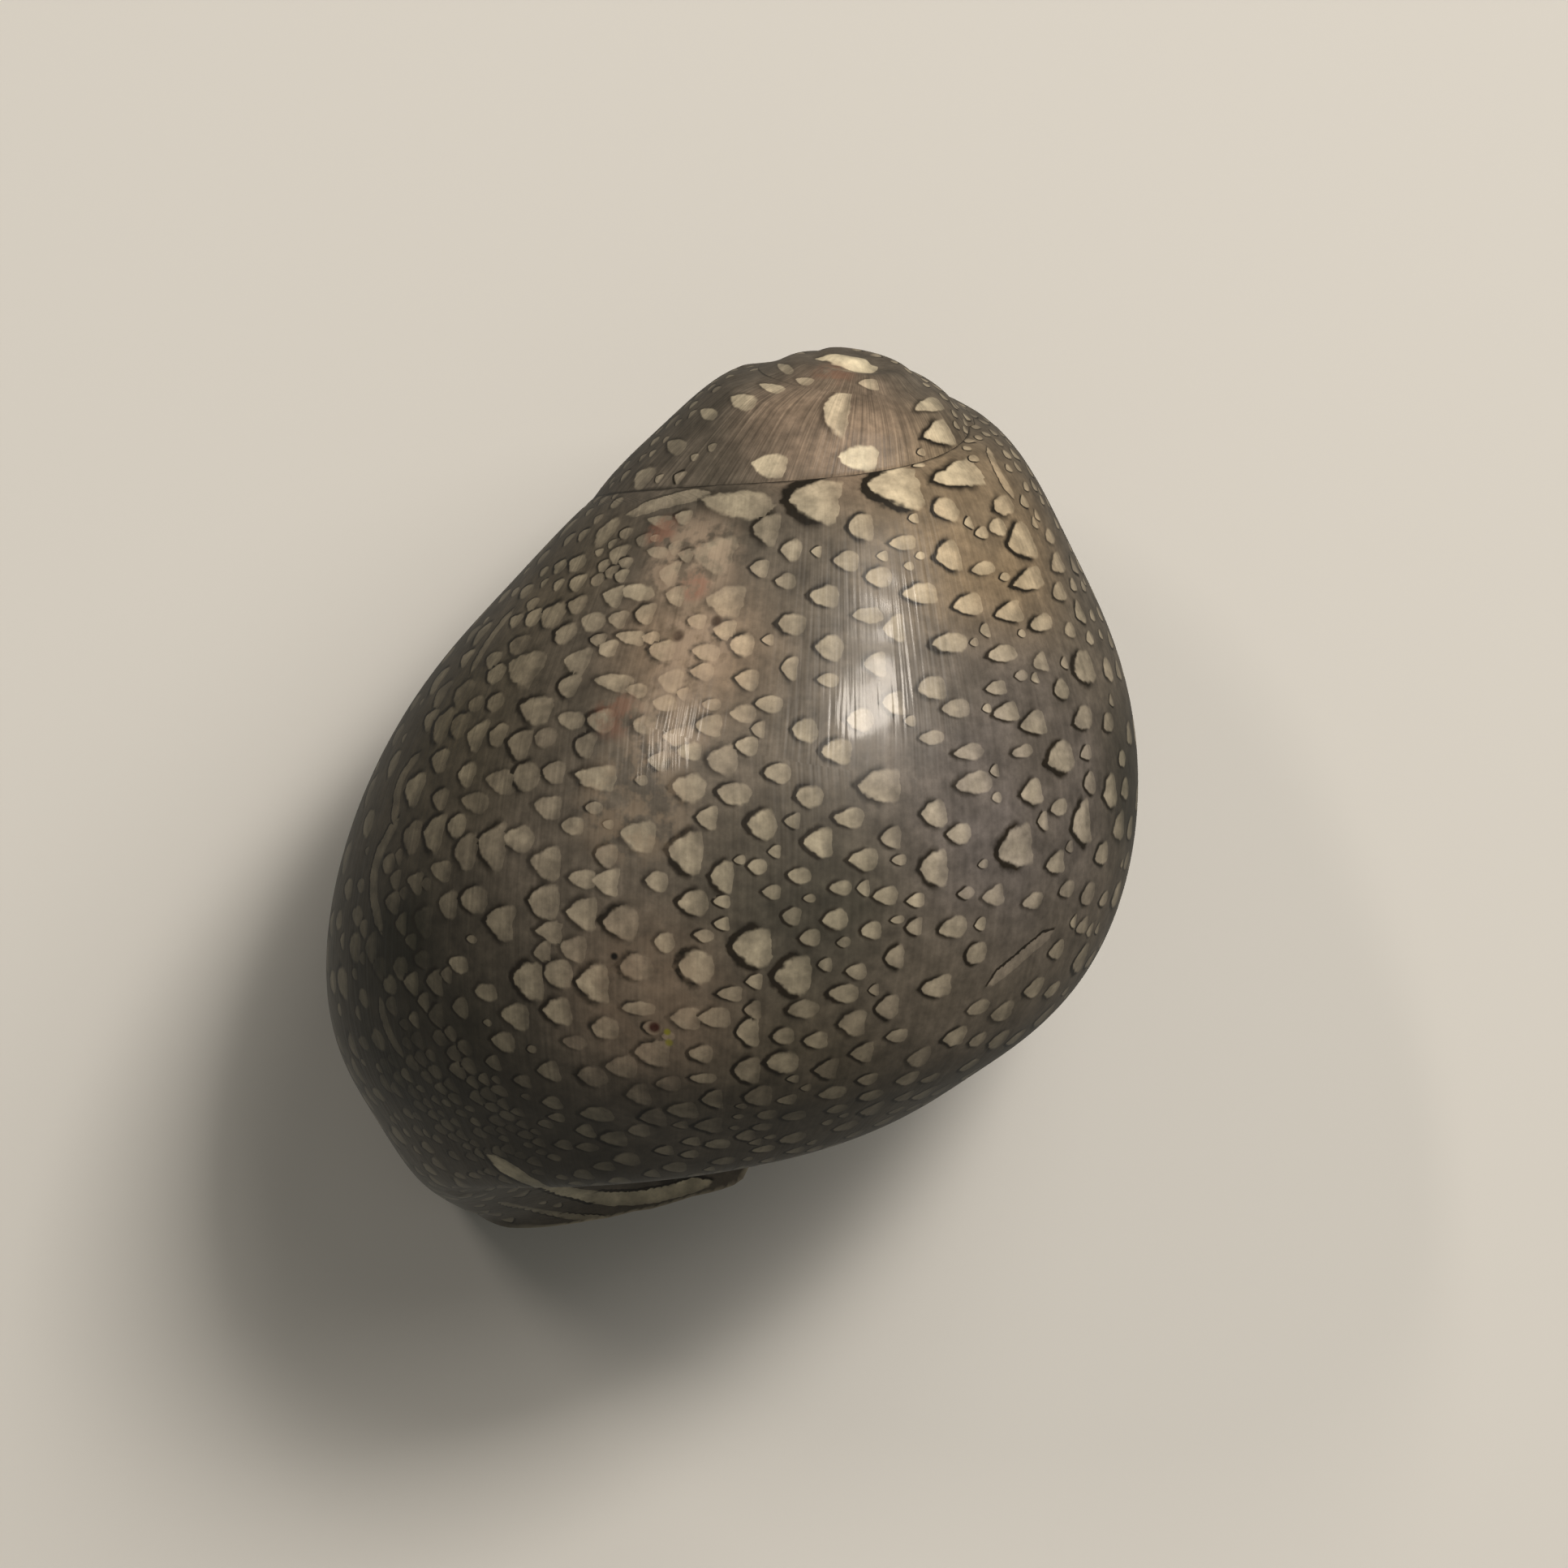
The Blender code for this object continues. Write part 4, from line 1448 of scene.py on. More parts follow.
@dataclass(frozen=True)
class GlossyOuterLayer:
    """Calcite outer layer under its thin horny skin, polished by the living animal.

    It gives the eye a smoky brown grey ground, pale cream tongues with a dark
    edge on their forward side, fine growth lines and a clear, wet looking gloss.
    Its colour also holds painted light: painted shade on the lower left, in the
    suture groove and above the crescent at the base, and painted sheen down the
    left flank and on one spire tongue.
    """

    name: str = "polished_calcite_outer_layer"
    ground: str = "#6F675D"
    ground_dark: str = "#454037"
    rim_colour: str = "#1E180F"
    tongue_colour: str = "#D9CFB4"
    tongue_lift: float = 1.7
    tongue_cream: float = 0.38
    tongue_mottle: float = 0.5
    mottle_strength: float = 0.45
    blotch_strength: float = 0.27
    callus_colour: str = "#E6DDC8"
    callus_shade: str = "#CFC2A6"
    # Painted shade: the dark line in the suture groove, where one whorl meets the next.
    suture_groove_shade: str = "#17120B"
    suture_strength: float = 0.9
    suture_width: Pair = (0.02, 0.13)
    suture_breaks: Pair = (0.35, 0.7)
    stains_and_painted_light: tuple[ColourPatch, ...] = (
        ColourPatch(1200, 640, 3.8 * MM, "#86755D", 0.75),
        ColourPatch(1020, 520, 2.6 * MM, "#8C7A69", 0.8),
        ColourPatch(1250, 980, 4.4 * MM, "#625D5B", 0.85),
        ColourPatch(980, 1120, 3.4 * MM, "#423F37", 0.9),
        # The dark patches round (500, 1250), (560, 900) and (700, 1440) are partly the shell's own darker
        # tone and partly painted shade on the lower left, the side away from the light; the one round (1395,
        # 960) darkens the ground towards the right edge.
        ColourPatch(500, 1250, 5.4 * MM, "#25241B", 0.95),
        ColourPatch(560, 900, 4.0 * MM, "#4A4437", 0.9),
        ColourPatch(1395, 960, 2.6 * MM, "#38352E", 0.95),
        ColourPatch(700, 1440, 2.6 * MM, "#332F26", 0.9),
        ColourPatch(700, 700, 2.4 * MM, "#5B5345", 0.8),
        ColourPatch(980, 1330, 3.0 * MM, "#4C463A", 0.8),
        # The pale patch round (850, 800) lies in the band where the left highlight falls: partly the ground's
        # pinkish tone, partly painted sheen.
        ColourPatch(850, 800, 2.6 * MM, "#83725F", 0.7),
        ColourPatch(800, 1240, 2.8 * MM, "#6E6153", 0.7),
    )
    ground_patch_core: float = 0.25
    ground_patch_gain: float = 1.7
    hazes_specks_and_painted_light: tuple[ColourPatch, ...] = (
        # The five pale patches down the left flank, from (850, 690) to (800, 1230), are partly the ground's
        # pinkish tone and partly painted sheen, in the band where a highlight falls.
        ColourPatch(850, 690, 1.4 * MM, "#B3A08C", 0.6, 0.1),
        ColourPatch(850, 800, 1.2 * MM, "#B09D8A", 0.5),
        ColourPatch(825, 890, 1.3 * MM, "#A99886", 0.45),
        ColourPatch(780, 990, 1.6 * MM, "#9C8A74", 0.35),
        ColourPatch(800, 1230, 1.9 * MM, "#7F7060", 0.35),
        ColourPatch(760, 880, 0.7 * MM, "#7E5746", 0.5),
        ColourPatch(815, 655, 0.5 * MM, "#8A5A49", 0.5),
        ColourPatch(856, 722, 0.45 * MM, "#8A5A49", 0.55),
        ColourPatch(1028, 456, 0.6 * MM, "#8A6552", 0.45),
        ColourPatch(758, 1177, 0.11 * MM, "#0E0B08", 1.0, 1.0),
        ColourPatch(807, 1264, 0.16 * MM, "#3A1B12", 1.0, 0.8),
        ColourPatch(823, 1270, 0.10 * MM, "#7E7A2C", 1.0, 0.8),
        ColourPatch(825, 1283, 0.11 * MM, "#7E7A2C", 1.0, 0.8),
        ColourPatch(836, 784, 0.18 * MM, "#3A2A1C", 0.9, 0.6),
        ColourPatch(883, 766, 0.16 * MM, "#3A2A1C", 0.9, 0.6),
        # Painted shade: a dark line in the crease above the pale crescent at the base, where the body hides
        # the lip.
        ColourPatch(821, 1460, 0.24 * MM, "#241C12", 0.9, 0.6),
    )
    haze_core: float = 0.4
    haze_breaks: Pair = (0.42, 0.56)
    grain_span: Pair = (0.3, 0.7)
    roughness: Pair = (0.36, 0.52)
    index: float = 1.53
    unevenness: float = 1.4
    bump_strength: float = 0.42
    bump_height: float = 0.02 * MM
    coat: float = 0.34
    coat_roughness: float = 0.12
    worn_until: Pair = (-430.0 * DEG, -370.0 * DEG)
    spire_until: Pair = (-345.0 * DEG, -300.0 * DEG)
    spire_lines_a_radian: float = 60.0
    spire_line_strength: float = 1.3
    lines_a_radian: float = 46.0
    line_length: float = 2.2
    line_tint: Pair = (0.92, 1.07)
    edge_softness: float = 0.13
    edge_start: float = 0.02
    rim_shift: float = 0.42
    rim_width: float = 1.30
    rim_softness: float = 0.24
    rim_strength: float = 1.35
    rim_span: Pair = (-0.95, 0.15)
    rear_span: Pair = (-0.95, -0.1)
    rear_paleness: float = 0.45
    nose: float = 0.62
    fullness: float = 1.75
    wobble: float = 0.51

    def tongue(self, tree: bpy.types.NodeTree, layer: Layer, wobble: Socket) -> tuple[Socket, Socket, Socket]:
        """Draw one layer of tongues from the places written on the mesh.

        Args:
            tree: The material's nodes.
            layer: Which of the two tongues of a face to draw.
            wobble: A small vector that roughens the outline.

        Returns:
            The sockets of the pale share, the rim's share and the shade.
        """
        add = partial(add_node, tree)
        place, look = (add("Attribute", attribute_name=name).outputs["Vector"] for name in layer.value)
        shade, bluntness, rim_share = add("SeparateXYZ", (look,)).outputs
        moved = add("VectorMath", (place, wobble), operation="ADD")
        shares = []
        for shift, width, softness in ((0.0, 1.0, self.edge_softness),
                                       (self.rim_shift, self.rim_width, self.rim_softness)):
            pushed = add("VectorMath", (moved, (-shift, 0.0, 0.0)), operation="ADD")
            sized = add("VectorMath", (pushed, (1.0, 1.0 / width, 1.0)), operation="MULTIPLY")
            forward, across, _ = add("SeparateXYZ", (sized,)).outputs
            behind_tip = add("Math", (forward, -0.5, 0.5), operation="MULTIPLY_ADD", use_clamp=True)
            before_rear = add("Math", (1.0, behind_tip), operation="SUBTRACT", use_clamp=True)
            nose = add("Math", (behind_tip, self.nose), operation="POWER")
            rear = add("Math", (before_rear, bluntness), operation="POWER")
            half = add("Math", (nose, rear), operation="MULTIPLY")
            widened = add("Math", (half, self.fullness), operation="MULTIPLY")
            aside = add("Math", (across,), operation="ABSOLUTE")
            gap = add("Math", (widened, aside), operation="SUBTRACT")
            shares.append(add("MapRange", (gap, self.edge_start, self.edge_start + 2.0 * softness), **EASE))
        along = add("SeparateXYZ", (moved,)).outputs[0]
        forward = add("MapRange", (along, *self.rim_span), **EASE)
        rim = add("Math", (shares[1], shares[0]), operation="SUBTRACT", use_clamp=True)
        kept = add("Math", (rim, forward), operation="MULTIPLY")
        darkened = add("Math", (kept, self.rim_strength), operation="MULTIPLY")
        strong = add("Math", (darkened, rim_share), operation="MULTIPLY", use_clamp=True)
        fading = add("MapRange", (along, *self.rear_span, self.rear_paleness), **EASE)
        pale = add("Math", (shares[0], fading), operation="MULTIPLY")
        return pale.outputs[0], strong.outputs[0], shade

    def material(self, find: Finder) -> bpy.types.Material:
        """Make the material.

        Args:
            find: Gives the place on the surface that a pixel of the photograph shows.

        Returns:
            The finished material.
        """
        made, shader = start_material(self.name, {
            "Coat Weight": self.coat, "Coat Roughness": self.coat_roughness, "IOR": self.index})
        add = partial(add_node, made.node_tree)
        spot = add("TexCoord").outputs["Object"]
        growth = add("UVMap", uv_map=GROWTH_MAP).outputs[0]
        grains = {grain: add("TexNoise", grain.inputs(spot)) for grain in Grain if grain != Grain.PORCELAIN}
        outline = grains[Grain.OUTLINE].outputs["Color"]
        centred = add("VectorMath", (outline, (-0.5, -0.5, -0.5)), operation="ADD")
        both_ways = (self.wobble, self.wobble, 0.0)
        wobble = add("VectorMath", (centred, both_ways), operation="MULTIPLY").outputs[0]
        colour, lines = self.ground_colour(made.node_tree, growth, grains, spot, find)
        lifted = add("VectorMath", {0: colour, "Scale": self.tongue_lift}, operation="SCALE")
        half = 0.5 * self.tongue_mottle
        mottled = add("Math", (grains[Grain.TONGUE], self.tongue_mottle, -half), operation="MULTIPLY_ADD")
        for layer in reversed(Layer):
            pale, rim, shade = self.tongue(made.node_tree, layer, wobble)
            colour = add("Mix", {0: rim, 6: colour, 7: linear(self.rim_colour)}, data_type="RGBA")
            lit = add("Math", (shade, mottled), operation="ADD")
            cream = add("Math", (lit, self.tongue_cream), operation="MULTIPLY", use_clamp=True)
            tone = add("Mix", {0: cream, 6: lifted, 7: linear(self.tongue_colour)}, data_type="RGBA")
            colour = add("Mix", {0: pale, 6: colour, 7: tone}, data_type="RGBA")
        colour = self.worn_and_painted_light(made.node_tree, colour, grains, spot, find)
        colour = self.suture_line(made.node_tree, colour, growth, grains[Grain.BLOTCH])
        cream = add("Mix", {
            0: grains[Grain.CALLUS], 6: linear(self.callus_shade), 7: linear(self.callus_colour)},
            data_type="RGBA")
        cover = add("Attribute", attribute_name=COVER).outputs["Fac"]
        colour = add("Mix", {0: cover, 6: colour, 7: cream}, data_type="RGBA")
        rough = add("MapRange", {"Value": lines, "To Min": self.roughness[0], "To Max": self.roughness[1]})
        height = add("Math", (grains[Grain.UNEVEN], self.unevenness, lines), operation="MULTIPLY_ADD")
        bump = add("Bump", {"Strength": self.bump_strength, "Distance": self.bump_height, "Height": height})
        feed(shader, {"Base Color": colour, "Roughness": rough, "Normal": bump, "Coat Normal": bump})
        return made

    def lay_patches(self, tree: bpy.types.NodeTree, colour: Socket, spot: Socket, find: Finder,
                stains_and_painted_light: tuple[ColourPatch, ...], core: float, patches: bpy.types.Node, breaks: Pair,
                gain: float) -> Socket:
        """Lay soft patches of colour over what is there.

        Args:
            tree: The material's nodes.
            colour: The colour so far.
            spot: The object coordinates.
            find: Gives the place on the surface that a pixel shows.
            stains_and_painted_light: The patches.
            core: The share of its reach within which a patch is full.
            patches: The noise that breaks them up.
            breaks: Where in the noise they start and where they are full.
            gain: How much stronger they are than they say, where the noise is full.

        Returns:
            The stained colour.
        """
        add = partial(add_node, tree)
        for each_patch in stains_and_painted_light:
            if hit := find(each_patch.across, each_patch.down):
                away = add("VectorMath", (spot, hit[0]), operation="DISTANCE")
                near = add("MapRange", (away, each_patch.reach, core * each_patch.reach), **EASE)
                broken = add("MapRange", (patches, *breaks, each_patch.least, gain * each_patch.strength))
                share = add("Math", (near, broken), operation="MULTIPLY", use_clamp=True)
                colour = add("Mix", {0: share, 6: colour, 7: linear(each_patch.colour)}, data_type="RGBA")
        return colour

    def ground_colour(self, tree: bpy.types.NodeTree, growth: Socket, grains: dict[Grain, bpy.types.Node],
                      spot: Socket, find: Finder) -> tuple[bpy.types.Node, bpy.types.Node]:
        """Mix the ground from its patches of colour, its clouds and its growth lines; some patches are
        painted shade on the lower left.

        Args:
            tree: The material's nodes.
            growth: The growth angle and the depth below the suture.
            grains: The noises.
            spot: The object coordinates.
            find: Gives the place on the surface that a pixel shows.

        Returns:
            The nodes of the colour and of the growth lines' height.
        """
        add, clouds = partial(add_node, tree), grains[Grain.CLOUDS]
        colour = add("Mix", {0: clouds, 6: linear(self.ground_dark), 7: linear(self.ground)},
                     data_type="RGBA")
        colour = self.lay_patches(tree, colour, spot, find, self.stains_and_painted_light, self.ground_patch_core,
                              clouds, (0.0, 1.0), self.ground_patch_gain)
        lines, ribs = (
            add("TexNoise", {"Scale": 1.0, "Detail": detail, "Vector": add(
                "VectorMath", (growth, (a_radian, 1.0 / self.line_length, 1.0)), operation="MULTIPLY")},
                noise_dimensions="2D")
            for a_radian, detail in ((self.lines_a_radian, 1.0), (self.spire_lines_a_radian, 2.0)))
        tint = add("MapRange", (lines, *self.grain_span, *self.line_tint))
        lined = add("VectorMath", {0: colour, "Scale": tint}, operation="SCALE")
        angle = add("SeparateXYZ", (growth,)).outputs[0]
        spire = (angle, *reversed(self.spire_until), 0.0, self.spire_line_strength)
        on_spire = add("MapRange", spire, **EASE)
        spread = add("Math", (ribs, -0.5), operation="ADD")
        contrast = add("Math", (spread, on_spire, 1.0), operation="MULTIPLY_ADD")
        return add("VectorMath", {0: lined, "Scale": contrast}, operation="SCALE"), lines

    def worn_and_painted_light(self, tree: bpy.types.NodeTree, colour: bpy.types.Node, grains: dict[Grain, bpy.types.Node],
             spot: Socket, find: Finder) -> bpy.types.Node:
        """Lay a fine mottling everywhere, and pale haze, specks and small patches over the tongues; the pale
        haze down the left flank is partly painted sheen, and one dark patch at the base is painted shade.

        Args:
            tree: The material's nodes.
            colour: The colour so far.
            grains: The noises.
            spot: The object coordinates.
            find: Gives the place on the surface that a pixel shows.

        Returns:
            The rubbed colour.
        """
        for grain, span, strength in ((Grain.MOTTLE, (0.0, 1.0), self.mottle_strength),
                                      (Grain.BLOTCH, self.grain_span, self.blotch_strength)):
            tint = add_node(tree, "MapRange", (grains[grain], *span, 1.0 - strength, 1.0 + strength))
            colour = add_node(tree, "VectorMath", {0: colour, "Scale": tint}, operation="SCALE")
        return self.lay_patches(tree, colour, spot, find, self.hazes_specks_and_painted_light, self.haze_core,
                            grains[Grain.HAZE], self.haze_breaks, 1.0)

    def suture_line(self, tree: bpy.types.NodeTree, colour: bpy.types.Node, growth: Socket,
                    uneven: bpy.types.Node) -> bpy.types.Node:
        """Darken the narrow groove where one whorl meets the next with painted shade.

        Args:
            tree: The material's nodes.
            colour: The colour so far.
            growth: The growth angle and the depth below the suture.
            uneven: The noise that widens and narrows it.

        Returns:
            The colour with the line in it.
        """
        add = partial(add_node, tree)
        sutures = add("SeparateXYZ", (add("UVMap", uv_map=SUTURE_MAP),)).outputs
        least = add("Math", (sutures[0], sutures[1]), operation="MINIMUM")
        width = add("MapRange", (uneven, *self.suture_breaks, *self.suture_width))
        near = add("MapRange", (least, width, 0.0), **EASE)
        angle = add("SeparateXYZ", (growth,)).outputs[0]
        unworn = add("MapRange", (angle, *self.worn_until, 0.0, self.suture_strength), **EASE)
        line = add("Math", (near, unworn), operation="MULTIPLY")
        return add("Mix", {0: line, 6: colour, 7: linear(self.suture_groove_shade)}, data_type="RGBA")


@dataclass(frozen=True)
class PorcelainInside:
    """Dense inner layer, laid down smooth as porcelain: white with a grey blue depth and a soft shine."""

    name: str = "porcelain_inner_layer"
    pale: str = "#D8D6CC"
    deep: str = "#A9ABA8"
    roughness: float = 0.28
    index: float = 1.53
    coat: float = 0.3
    bump_strength: float = 0.1
    bump_height: float = 0.03 * MM

    def material(self) -> bpy.types.Material:
        """Make the material.

        Returns:
            The finished material.
        """
        made, shader = start_material(self.name, {
            "Roughness": self.roughness, "IOR": self.index, "Coat Weight": self.coat})
        add = partial(add_node, made.node_tree)
        clouds = add("TexNoise", Grain.PORCELAIN.inputs(add("TexCoord").outputs["Object"]))
        colour = add("Mix", {0: clouds, 6: linear(self.deep), 7: linear(self.pale)}, data_type="RGBA")
        bump = add("Bump", {"Strength": self.bump_strength, "Distance": self.bump_height, "Height": clouds})
        feed(shader, {"Base Color": colour, "Normal": bump})
        return made


@dataclass
class NeriteShell:
    """The whole shell as one piece."""

    law: GrowthLaw
    photograph: Photograph = field(default_factory=Photograph)
    outside_finish: GlossyOuterLayer = field(default_factory=GlossyOuterLayer)
    inside_finish: PorcelainInside = field(default_factory=PorcelainInside)
    callus_centre: Pair = (0.4 * MM, -10.3 * MM)
    callus_spread: Pair = (3.4 * MM, 6.2 * MM)
    callus_fades: Pair = (0.85, 1.15)
    callus_climb: float = 0.13
    callus_edge: Pair = (-4.6 * MM, -2.4 * MM)
    callus_height: Pair = (0.08 * MM, 0.24 * MM)
    callus_facing: Pair = (-0.05, 0.35)
    softened: tuple[Pair, ...] = ((-3.4 * MM, -4.0 * MM), (-7.2 * MM, -13.0 * MM))
    crease_angle: float = 12.0 * DEG
    crease_reach: float = 1.1 * MM
    crease_passes: int = 140
    longest_edge: float = 0.22 * MM
    no_length: float = 1e-7
    refining_passes: int = 6
    doming: float = 0.28
    worn_reach: float = 2.6 * MM
    worn_passes: int = 60
    fit_margin: float = 1e-5
    still: float = 0.02 * MM
    joined_depth: float = 12.0
    no_growth: float = 1e-6
    sharp_angle: float = 45.0 * DEG

    def settle(self, outer: OuterLayer) -> Shape:
        """Build the outside and move the law's axis so that it fills the solid's box.

        Args:
            outer: The outer layer.

        Returns:
            The outside in its final place.
        """
        mesh = outer.build()
        low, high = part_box("shell")
        for number in (0, 1):
            values = [vertex.co[number] for vertex in mesh.verts]
            middle = 0.5 * (low[number] + high[number])
            self.law.axis_place[number] = middle - 0.5 * (min(values) + max(values))
        bmesh.ops.translate(mesh, vec=self.law.axis_place, verts=mesh.verts)
        outer.places.clear()
        return mesh

    @staticmethod
    def growth_tree(mesh: bpy.types.Mesh) -> tuple[KDTree, list[float]]:
        """Keep the growth angle of every point of the outside.

        Args:
            mesh: The outside before anything is joined to it.

        Returns:
            A tree of its points, and the angle of each.
        """
        angles = [0.0] * len(mesh.vertices)
        layer = mesh.uv_layers[GROWTH_MAP].data
        for loop in mesh.loops:
            angles[loop.vertex_index] = layer[loop.index].uv.x
        return point_tree([vertex.co for vertex in mesh.vertices]), angles

    def inherit_growth(self, mesh: bpy.types.Mesh, tree: KDTree, angles: list[float]) -> None:
        """Give the faces of the joined shapes the growth of the outside beside them.

        Args:
            mesh: The shell after the joins.
            tree: The points of the outside.
            angles: The growth angle of each.
        """
        layer, sutures = (mesh.uv_layers[name].data for name in (GROWTH_MAP, SUTURE_MAP))
        for face in mesh.polygons:
            if all(layer[loop].uv.length < self.no_growth for loop in face.loop_indices):
                for loop in face.loop_indices:
                    nearest = tree.find(mesh.vertices[mesh.loops[loop].vertex_index].co)[1]
                    layer[loop].uv = (angles[nearest], self.joined_depth)
                    sutures[loop].uv = (NO_SUTURE, NO_SUTURE)

    def refine(self, work: Shape) -> None:
        """Cut the long edges that the joins left until they are as short as the grown ones.

        Args:
            work: The shell after the joins.
        """
        large = [face for face in work.faces
                 if len(face.verts) > 4 or max(edge.calc_length() for edge in face.edges) > self.longest_edge]
        bmesh.ops.triangulate(work, faces=large)
        for _ in range(self.refining_passes):
            long_edges = [edge for edge in work.edges if edge.calc_length() > self.longest_edge]
            if not long_edges:
                break
            bmesh.ops.subdivide_edges(work, edges=long_edges, cuts=1)
            bmesh.ops.triangulate(work, faces=[face for face in work.faces if len(face.verts) > 4])

    def soften(self, item: bpy.types.Object, outside: BVHTree) -> None:
        """Swell the filling, smooth it and the creases beside it, and wear the first whorls.

        Args:
            item: The shell before its chamber is taken out.
            outside: The outside as it was grown.
        """
        work = bmesh.new()
        work.from_mesh(item.data)
        bmesh.ops.dissolve_degenerate(work, dist=self.no_length, edges=work.edges)
        self.refine(work)
        work.normal_update()
        joined = []
        for vertex in work.verts:
            if vertex.co.z > self.still and self.is_underneath(vertex.co):
                away = outside.find_nearest(vertex.co)[3]
                if away > self.still:
                    joined.append((vertex, away, vertex.normal.copy()))
        for vertex, away, normal in joined:
            vertex.co += normal * self.doming * away
        creases = [edge for edge in work.edges
                   if len(edge.link_faces) == 2 and edge.calc_face_angle(0.0) > self.crease_angle
                   and max(v.co.z for v in edge.verts) > self.still and self.is_underneath(edge.verts[0].co)]
        tree = point_tree([0.5 * (edge.verts[0].co + edge.verts[1].co) for edge in creases])
        near = {vertex for vertex, _, _ in joined}
        chosen = [vertex for vertex in work.verts if vertex in near or (
            vertex.co.z > self.still and creases and tree.find(vertex.co)[2] < self.crease_reach)]
        rub(work, chosen, self.crease_passes)
        for vertex in chosen:
            vertex.co.z = max(vertex.co.z, self.still)
        log.info("rounded off %d points beside %d crease edges", len(chosen), len(creases))
        first_whorls = [v for v in work.verts if (v.co - self.law.apex).length < self.worn_reach]
        rub(work, first_whorls, self.worn_passes)
        work.to_mesh(item.data)
        work.free()

    def is_underneath(self, point: Vector) -> bool:
        """Tell whether a place is near the callus pad or the front end of the base."""
        away = point - self.law.axis_place
        return any(away.x > across and away.y < along for across, along in self.softened)

    def cover_with_callus(self, mesh: bpy.types.Mesh) -> None:
        """Write how much of the cream callus covers each point.

        Args:
            mesh: The finished mesh.
        """
        cover = []
        for vertex in mesh.vertices:
            away = vertex.co - self.law.axis_place
            across, along = ((away[number] - self.callus_centre[number]) / self.callus_spread[number]
                             for number in (0, 1))
            spread = math.hypot(across, along) + self.callus_climb * max(away.z, 0.0) / MM
            foot = (smooth(away.x, *self.callus_edge) * smooth(-vertex.normal.z, *self.callus_facing)
                    * (1.0 - smooth(away.z, *self.callus_height)))
            cover.append(max(1.0 - smooth(spread, *self.callus_fades), foot))
        mesh.attributes.new(COVER, "FLOAT", "POINT").data.foreach_set("value", cover)

    def fit(self, mesh: bpy.types.Mesh) -> None:
        """Shrink the mesh by a hair so that it stays inside the solid's box.

        Args:
            mesh: The finished mesh.
        """
        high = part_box("shell")[1]
        reach = [max(abs(vertex.co[number]) for vertex in mesh.vertices) for number in range(3)]
        share = min(high[number] / reach[number] for number in range(3))
        mesh.transform(Matrix.Scale(min(share, 1.0) * (1.0 - self.fit_margin), 4))

    def build(self) -> None:
        """Grow, join, hollow out and dress the shell."""
        outer = OuterLayer(self.law)
        item = as_object("nerite_shell", self.settle(outer))
        log.info("outside: %d faces", len(item.data.polygons))
        grown = self.growth_tree(item.data)
        surface = surface_tree(item.data)
        for part in (BaseFilling(self.law), CallusPad(self.law)):
            combine(item, as_object("joined", part.build(outer)), "UNION")
        self.soften(item, surface)
        self.inherit_growth(item.data, *grown)
        pattern = TonguePattern(self.law, self.photograph, item.data)
        log.info("tongues: %d", len(pattern.tongues))
        chamber = LivingChamber(self.law)
        space = as_object("chamber", chamber.build())
        for block in (chamber.deck(), *(chamber.tooth(number) for number in range(chamber.teeth))):
            combine(space, as_object("deck", block), "DIFFERENCE")
        combine(item, space, "DIFFERENCE")
        mesh = item.data
        find = partial(self.photograph.hit, pattern.surface)
        mesh.materials[Coat.OUTSIDE.value] = self.outside_finish.material(find)
        mesh.materials[Coat.INSIDE.value] = self.inside_finish.material()
        pattern.write(mesh)
        self.cover_with_callus(mesh)
        self.fit(mesh)
        mesh.shade_smooth()
        mesh.set_sharp_from_angle(angle=self.sharp_angle)
        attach(item, "root")
        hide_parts("shell")
        log.info("shell: %d faces, %d triangles, %d faces inside", len(mesh.polygons),
                 sum(face.loop_total - 2 for face in mesh.polygons),
                 sum(face.material_index == Coat.INSIDE.value for face in mesh.polygons))


@dataclass(frozen=True)
class SoftBox:
    """A studio light: direction in the picture's axes, size, power, colour and whether it reflects."""

    name: str
    towards: tuple[float, float, float]
    width: float
    height: float
    power: float
    colour: str
    shines: bool = True
    distance: float = 0.45


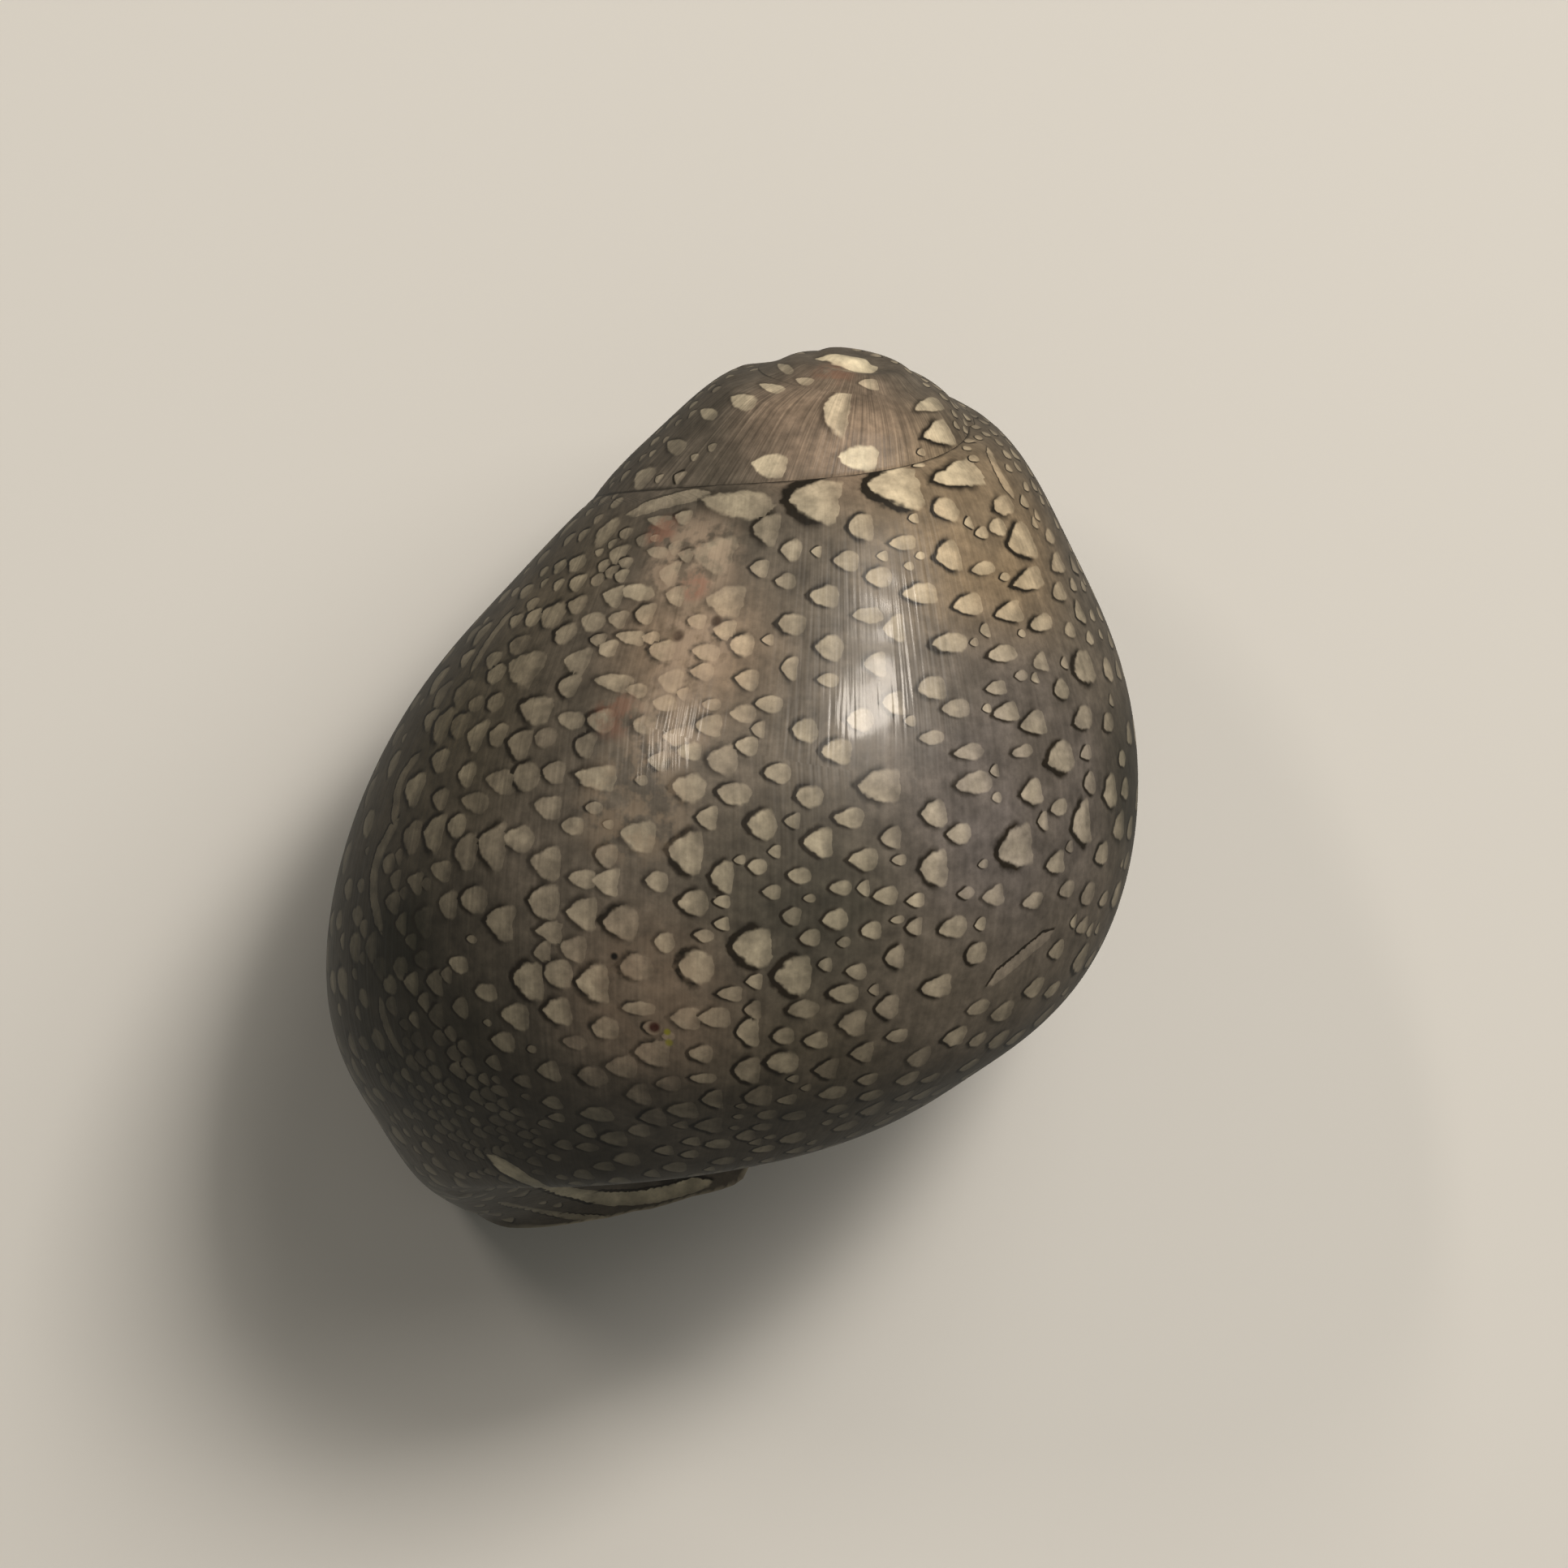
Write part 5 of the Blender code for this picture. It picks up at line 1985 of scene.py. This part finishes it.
@dataclass
class Studio:
    """A plain pale floor, soft lights and the camera of the photograph."""

    photograph: Photograph = field(default_factory=Photograph)
    floor_colour: str = "#DEDFDE"
    floor_roughness: float = 0.9
    floor_size: float = 3.0
    camera_distance: float = 0.6
    camera_clip: Pair = (0.01, 10.0)
    sensor: float = 36.0
    world_colour: str = "#D2CDC0"
    world_strength: float = 0.20
    boxes: tuple[SoftBox, ...] = (
        SoftBox("key_softbox", (0.50, 0.56, 0.66), 0.34, 0.34, 1.3, "#FFF4E6", shines=False),
        SoftBox("small_window", (0.42, 0.505, 0.76), 0.13, 0.085, 1.1, "#FFF4E6"),
        SoftBox("left_strip", (-0.515, 0.535, 0.70), 0.025, 0.11, 0.24, "#FFF1E0"),
    )

    def build(self) -> None:
        """Make the floor, the lights, the surroundings and the camera."""
        self.lay_floor()
        for box in self.boxes:
            self.hang(box)
        world = bpy.data.worlds.new("studio_room")
        world.use_nodes = True
        feed(world.node_tree.nodes["Background"], {
            "Color": linear(self.world_colour), "Strength": self.world_strength})
        bpy.context.scene.world = world
        bpy.context.scene.view_settings.view_transform = "Standard"
        self.place_camera()

    def lay_floor(self) -> None:
        """Lay the plain pale floor under the shell."""
        plain = bmesh.new()
        bmesh.ops.create_grid(plain, x_segments=1, y_segments=1, size=0.5 * self.floor_size)
        painted, _ = start_material("matt_painted_board", {
            "Base Color": linear(self.floor_colour), "Roughness": self.floor_roughness})
        floor = as_object("floor", plain, (painted,))
        floor.visible_diffuse = False
        floor.visible_glossy = False

    def put(self, data: bpy.types.ID, axes: tuple[Vector, Vector, Vector],
            distance: float) -> bpy.types.Object:
        """Put a light or the camera so that it faces the shell.

        Args:
            data: The light or the camera.
            axes: Its own directions, the last one away from the shell.
            distance: How far from the middle of the shell it is.

        Returns:
            The object.
        """
        item = bpy.data.objects.new(data.name, data)
        place = Vector(self.photograph.middle) + axes[2] * distance
        item.matrix_world = Matrix.Translation(place) @ Matrix(axes).transposed().to_4x4()
        bpy.context.scene.collection.objects.link(item)
        return item

    def hang(self, box: SoftBox) -> None:
        """Hang a light.

        Args:
            box: The light.
        """
        right, up, back = self.photograph.axes
        direction = (right * box.towards[0] + up * box.towards[1] + back * box.towards[2]).normalized()
        side = up.cross(direction).normalized()
        lamp = bpy.data.lights.new(box.name, "AREA")
        lamp.shape = "RECTANGLE"
        lamp.size, lamp.size_y, lamp.energy = box.width, box.height, box.power
        lamp.color = linear(box.colour)[:3]
        item = self.put(lamp, (side, direction.cross(side), direction), box.distance)
        item.visible_camera = False
        item.visible_glossy = box.shines

    def place_camera(self) -> None:
        """Put the camera where the photograph was taken from."""
        view = bpy.data.cameras.new("camera")
        view.sensor_width = self.sensor
        picture_width = self.photograph.pixels / self.photograph.pixels_a_metre
        view.lens = self.sensor * self.camera_distance / picture_width
        view.clip_start, view.clip_end = self.camera_clip
        bpy.context.scene.camera = self.put(view, self.photograph.axes, self.camera_distance)


def main() -> None:
    """Build the shell and the studio."""
    logging.basicConfig(level=logging.INFO, format="%(message)s")
    NeriteShell(GrowthLaw()).build()
    Studio().build()


if __name__ == "__main__":
    main()
